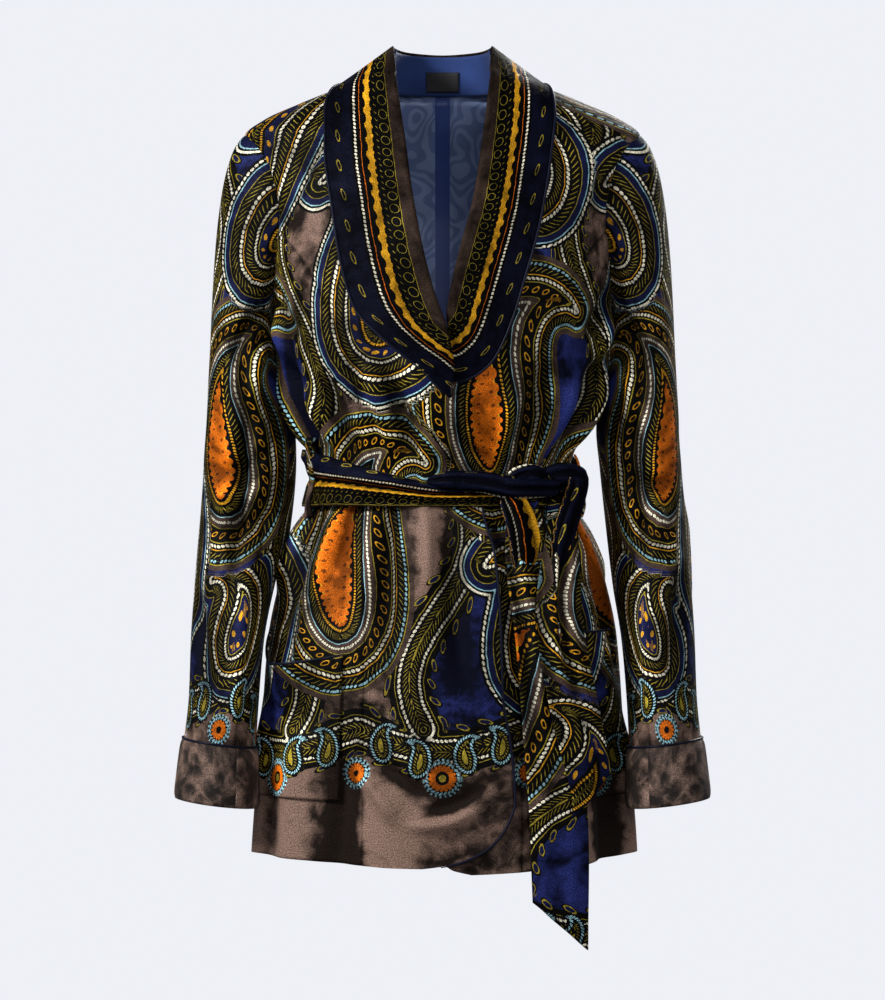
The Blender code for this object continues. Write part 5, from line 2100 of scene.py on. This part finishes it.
    def build(self, finishes: Finishes) -> None:
        """Builds the belt.

        Args:
            finishes: The garment's materials.
        """
        printed = finishes.printed
        pleated = {"depth": lambda across, along: creased(self.pleats, across, along), "held": "gathered"}
        stretches = (
            ("belt_right", (self.join - 360.0, self.top[-1].angle, self.top), 230, ("front_right", "back")),
            ("belt_left", (self.left_start, self.join, self.left_top), 44, ("front_left",)),
        )
        for node, span, columns, rests_on in stretches:
            cloth = Cloth(node, partial(self.stretch, *span), columns, 22, rests_on=rests_on, **pleated)
            cloth.turn = turned(90.0, self.band_start, 0.0)
            cloth.build(finishes.collar, finishes.collar)
        tails = (
            ("long", self.long_tail, self.long_slant, self.long_folds, (26, 150), -40.0),
            ("short", self.short_tail, self.short_slant, self.short_folds, (24, 104), 88.0),
        )
        for name, stations, slant, folds, (columns, rows), print_across in tails:
            tail = Cloth(f"belt_tail_{name}", partial(self.tail, stations, slant), columns, rows)
            tail.rests_on = ("belt_knot",)
            tail.depth = lambda across, along, folds=folds: creased(folds, across, along)
            tail.print_ = BODY_PRINT
            tail.turn = turned(self.tail_turn, print_across, self.tail_print)
            tail.build(printed, printed)
        for side in Side:
            loop = Cloth(f"belt_loop_{side.word}", partial(self.loop, side), 8, 40, wall=1.5)
            loop.rests_on = (f"side_panel_{side.word}",)
            loop.depth = partial(self.loop_depth, side)
            loop.print_ = BODY_PRINT
            loop.turn = turned(0.0, BODY_PRINT.column, 0.0)
            loop.build(printed, printed)
        self.knot(finishes.collar)


@dataclass(frozen=True)
class Studio:
    """Pale round room, soft lights and the camera, in metres."""

    distance: float = 3.6
    eye_height: float = -0.372
    field: float = 0.93
    sensor: float = 36.0
    backdrop: str = "#eef0f6"
    floor: float = -1.0
    ceiling: float = 6.0
    radius: float = 7.0
    lights: tuple[tuple[tuple[float, float, float], float, float], ...] = (
        ((-2.4, -1.7, 1.2), 0.8, 112.0),
        ((2.2, -1.9, 0.5), 1.2, 16.0),
        ((0.3, -3.3, 0.5), 0.9, 17.0),
        ((1.3, 2.6, 1.3), 1.4, 90.0),
    )

    def build(self) -> None:
        """Builds the room, the lights and the camera."""
        room = bmesh.new()
        size = {"radius1": self.radius, "radius2": self.radius, "depth": self.ceiling - self.floor}
        bmesh.ops.create_cone(room, cap_ends=True, segments=96, **size)
        bmesh.ops.translate(room, verts=room.verts, vec=(0.0, 0.0, (self.ceiling + self.floor) / 2))
        floor = link_mesh("pale_room", room)
        # Matt paint, evenly pale, which gives a plain ground.
        bench = Bench("pale_painted_room")
        grain = bench.add("TexNoise", {"Vector": bench.add("TexCoord", out="Object"), "Scale": 400.0})
        rough = bench.add("MapRange", {0: grain, 3: 0.85, 4: 0.95})
        paper = {
            "Base Color": (0.0, 0.0, 0.0, 1.0),
            "Roughness": rough,
            "Specular IOR Level": 0.0,
            "Emission Color": linear(self.backdrop),
            "Emission Strength": 1.0,
        }
        bench.add("OutputMaterial", {"Surface": bench.add("BsdfPrincipled", paper)})
        floor.data.materials.append(bench.material)
        floor.visible_diffuse = False
        floor.visible_glossy = False
        floor.visible_shadow = False
        for number, (place, size, power) in enumerate(self.lights):
            data = bpy.data.lights.new(f"softbox_{number}", "AREA")
            data.size = size
            data.energy = power
            lamp = bpy.data.objects.new(data.name, data)
            lamp.location = place
            aim = np.array([0.0, 0.0, self.eye_height]) - np.array(place)
            tip = math.atan2(math.hypot(aim[0], aim[1]), -aim[2])
            lamp.rotation_euler = (tip, 0.0, math.atan2(-aim[0], aim[1]))
            bpy.context.scene.collection.objects.link(lamp)
        world = bpy.data.worlds.new("soft_room")
        world.use_nodes = True
        world.node_tree.nodes["Background"].inputs["Color"].default_value = linear(self.backdrop)
        world.node_tree.nodes["Background"].inputs["Strength"].default_value = 0.2
        bpy.context.scene.world = world
        bpy.context.scene.view_settings.view_transform = "Standard"
        lens = bpy.data.cameras.new("front_camera")
        lens.sensor_width = self.sensor
        lens.lens = self.sensor * self.distance / self.field
        camera = bpy.data.objects.new("front_camera", lens)
        camera.location = (0.0, -self.distance, self.eye_height)
        camera.rotation_euler = (math.pi / 2, 0.0, 0.0)
        bpy.context.scene.collection.objects.link(camera)
        bpy.context.scene.camera = camera


def main() -> None:
    """Builds the garment around its frame."""
    logging.basicConfig(level=logging.INFO)
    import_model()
    Studio().build()
    finishes = Finishes.make()
    bodice = Bodice()
    Cord("front_piping", bodice.build(finishes)).build(finishes.satin)
    Collar().build(finishes)
    Sleeve(Side.RIGHT, bodice, RIGHT_SECTIONS, RIGHT_CREASES, RIGHT_CUFF_CREASES).build(finishes)
    Sleeve(Side.LEFT, bodice, LEFT_SECTIONS, LEFT_CREASES, LEFT_CUFF_CREASES).build(finishes)
    Belt(bodice).build(finishes)


if __name__ == "__main__":
    main()
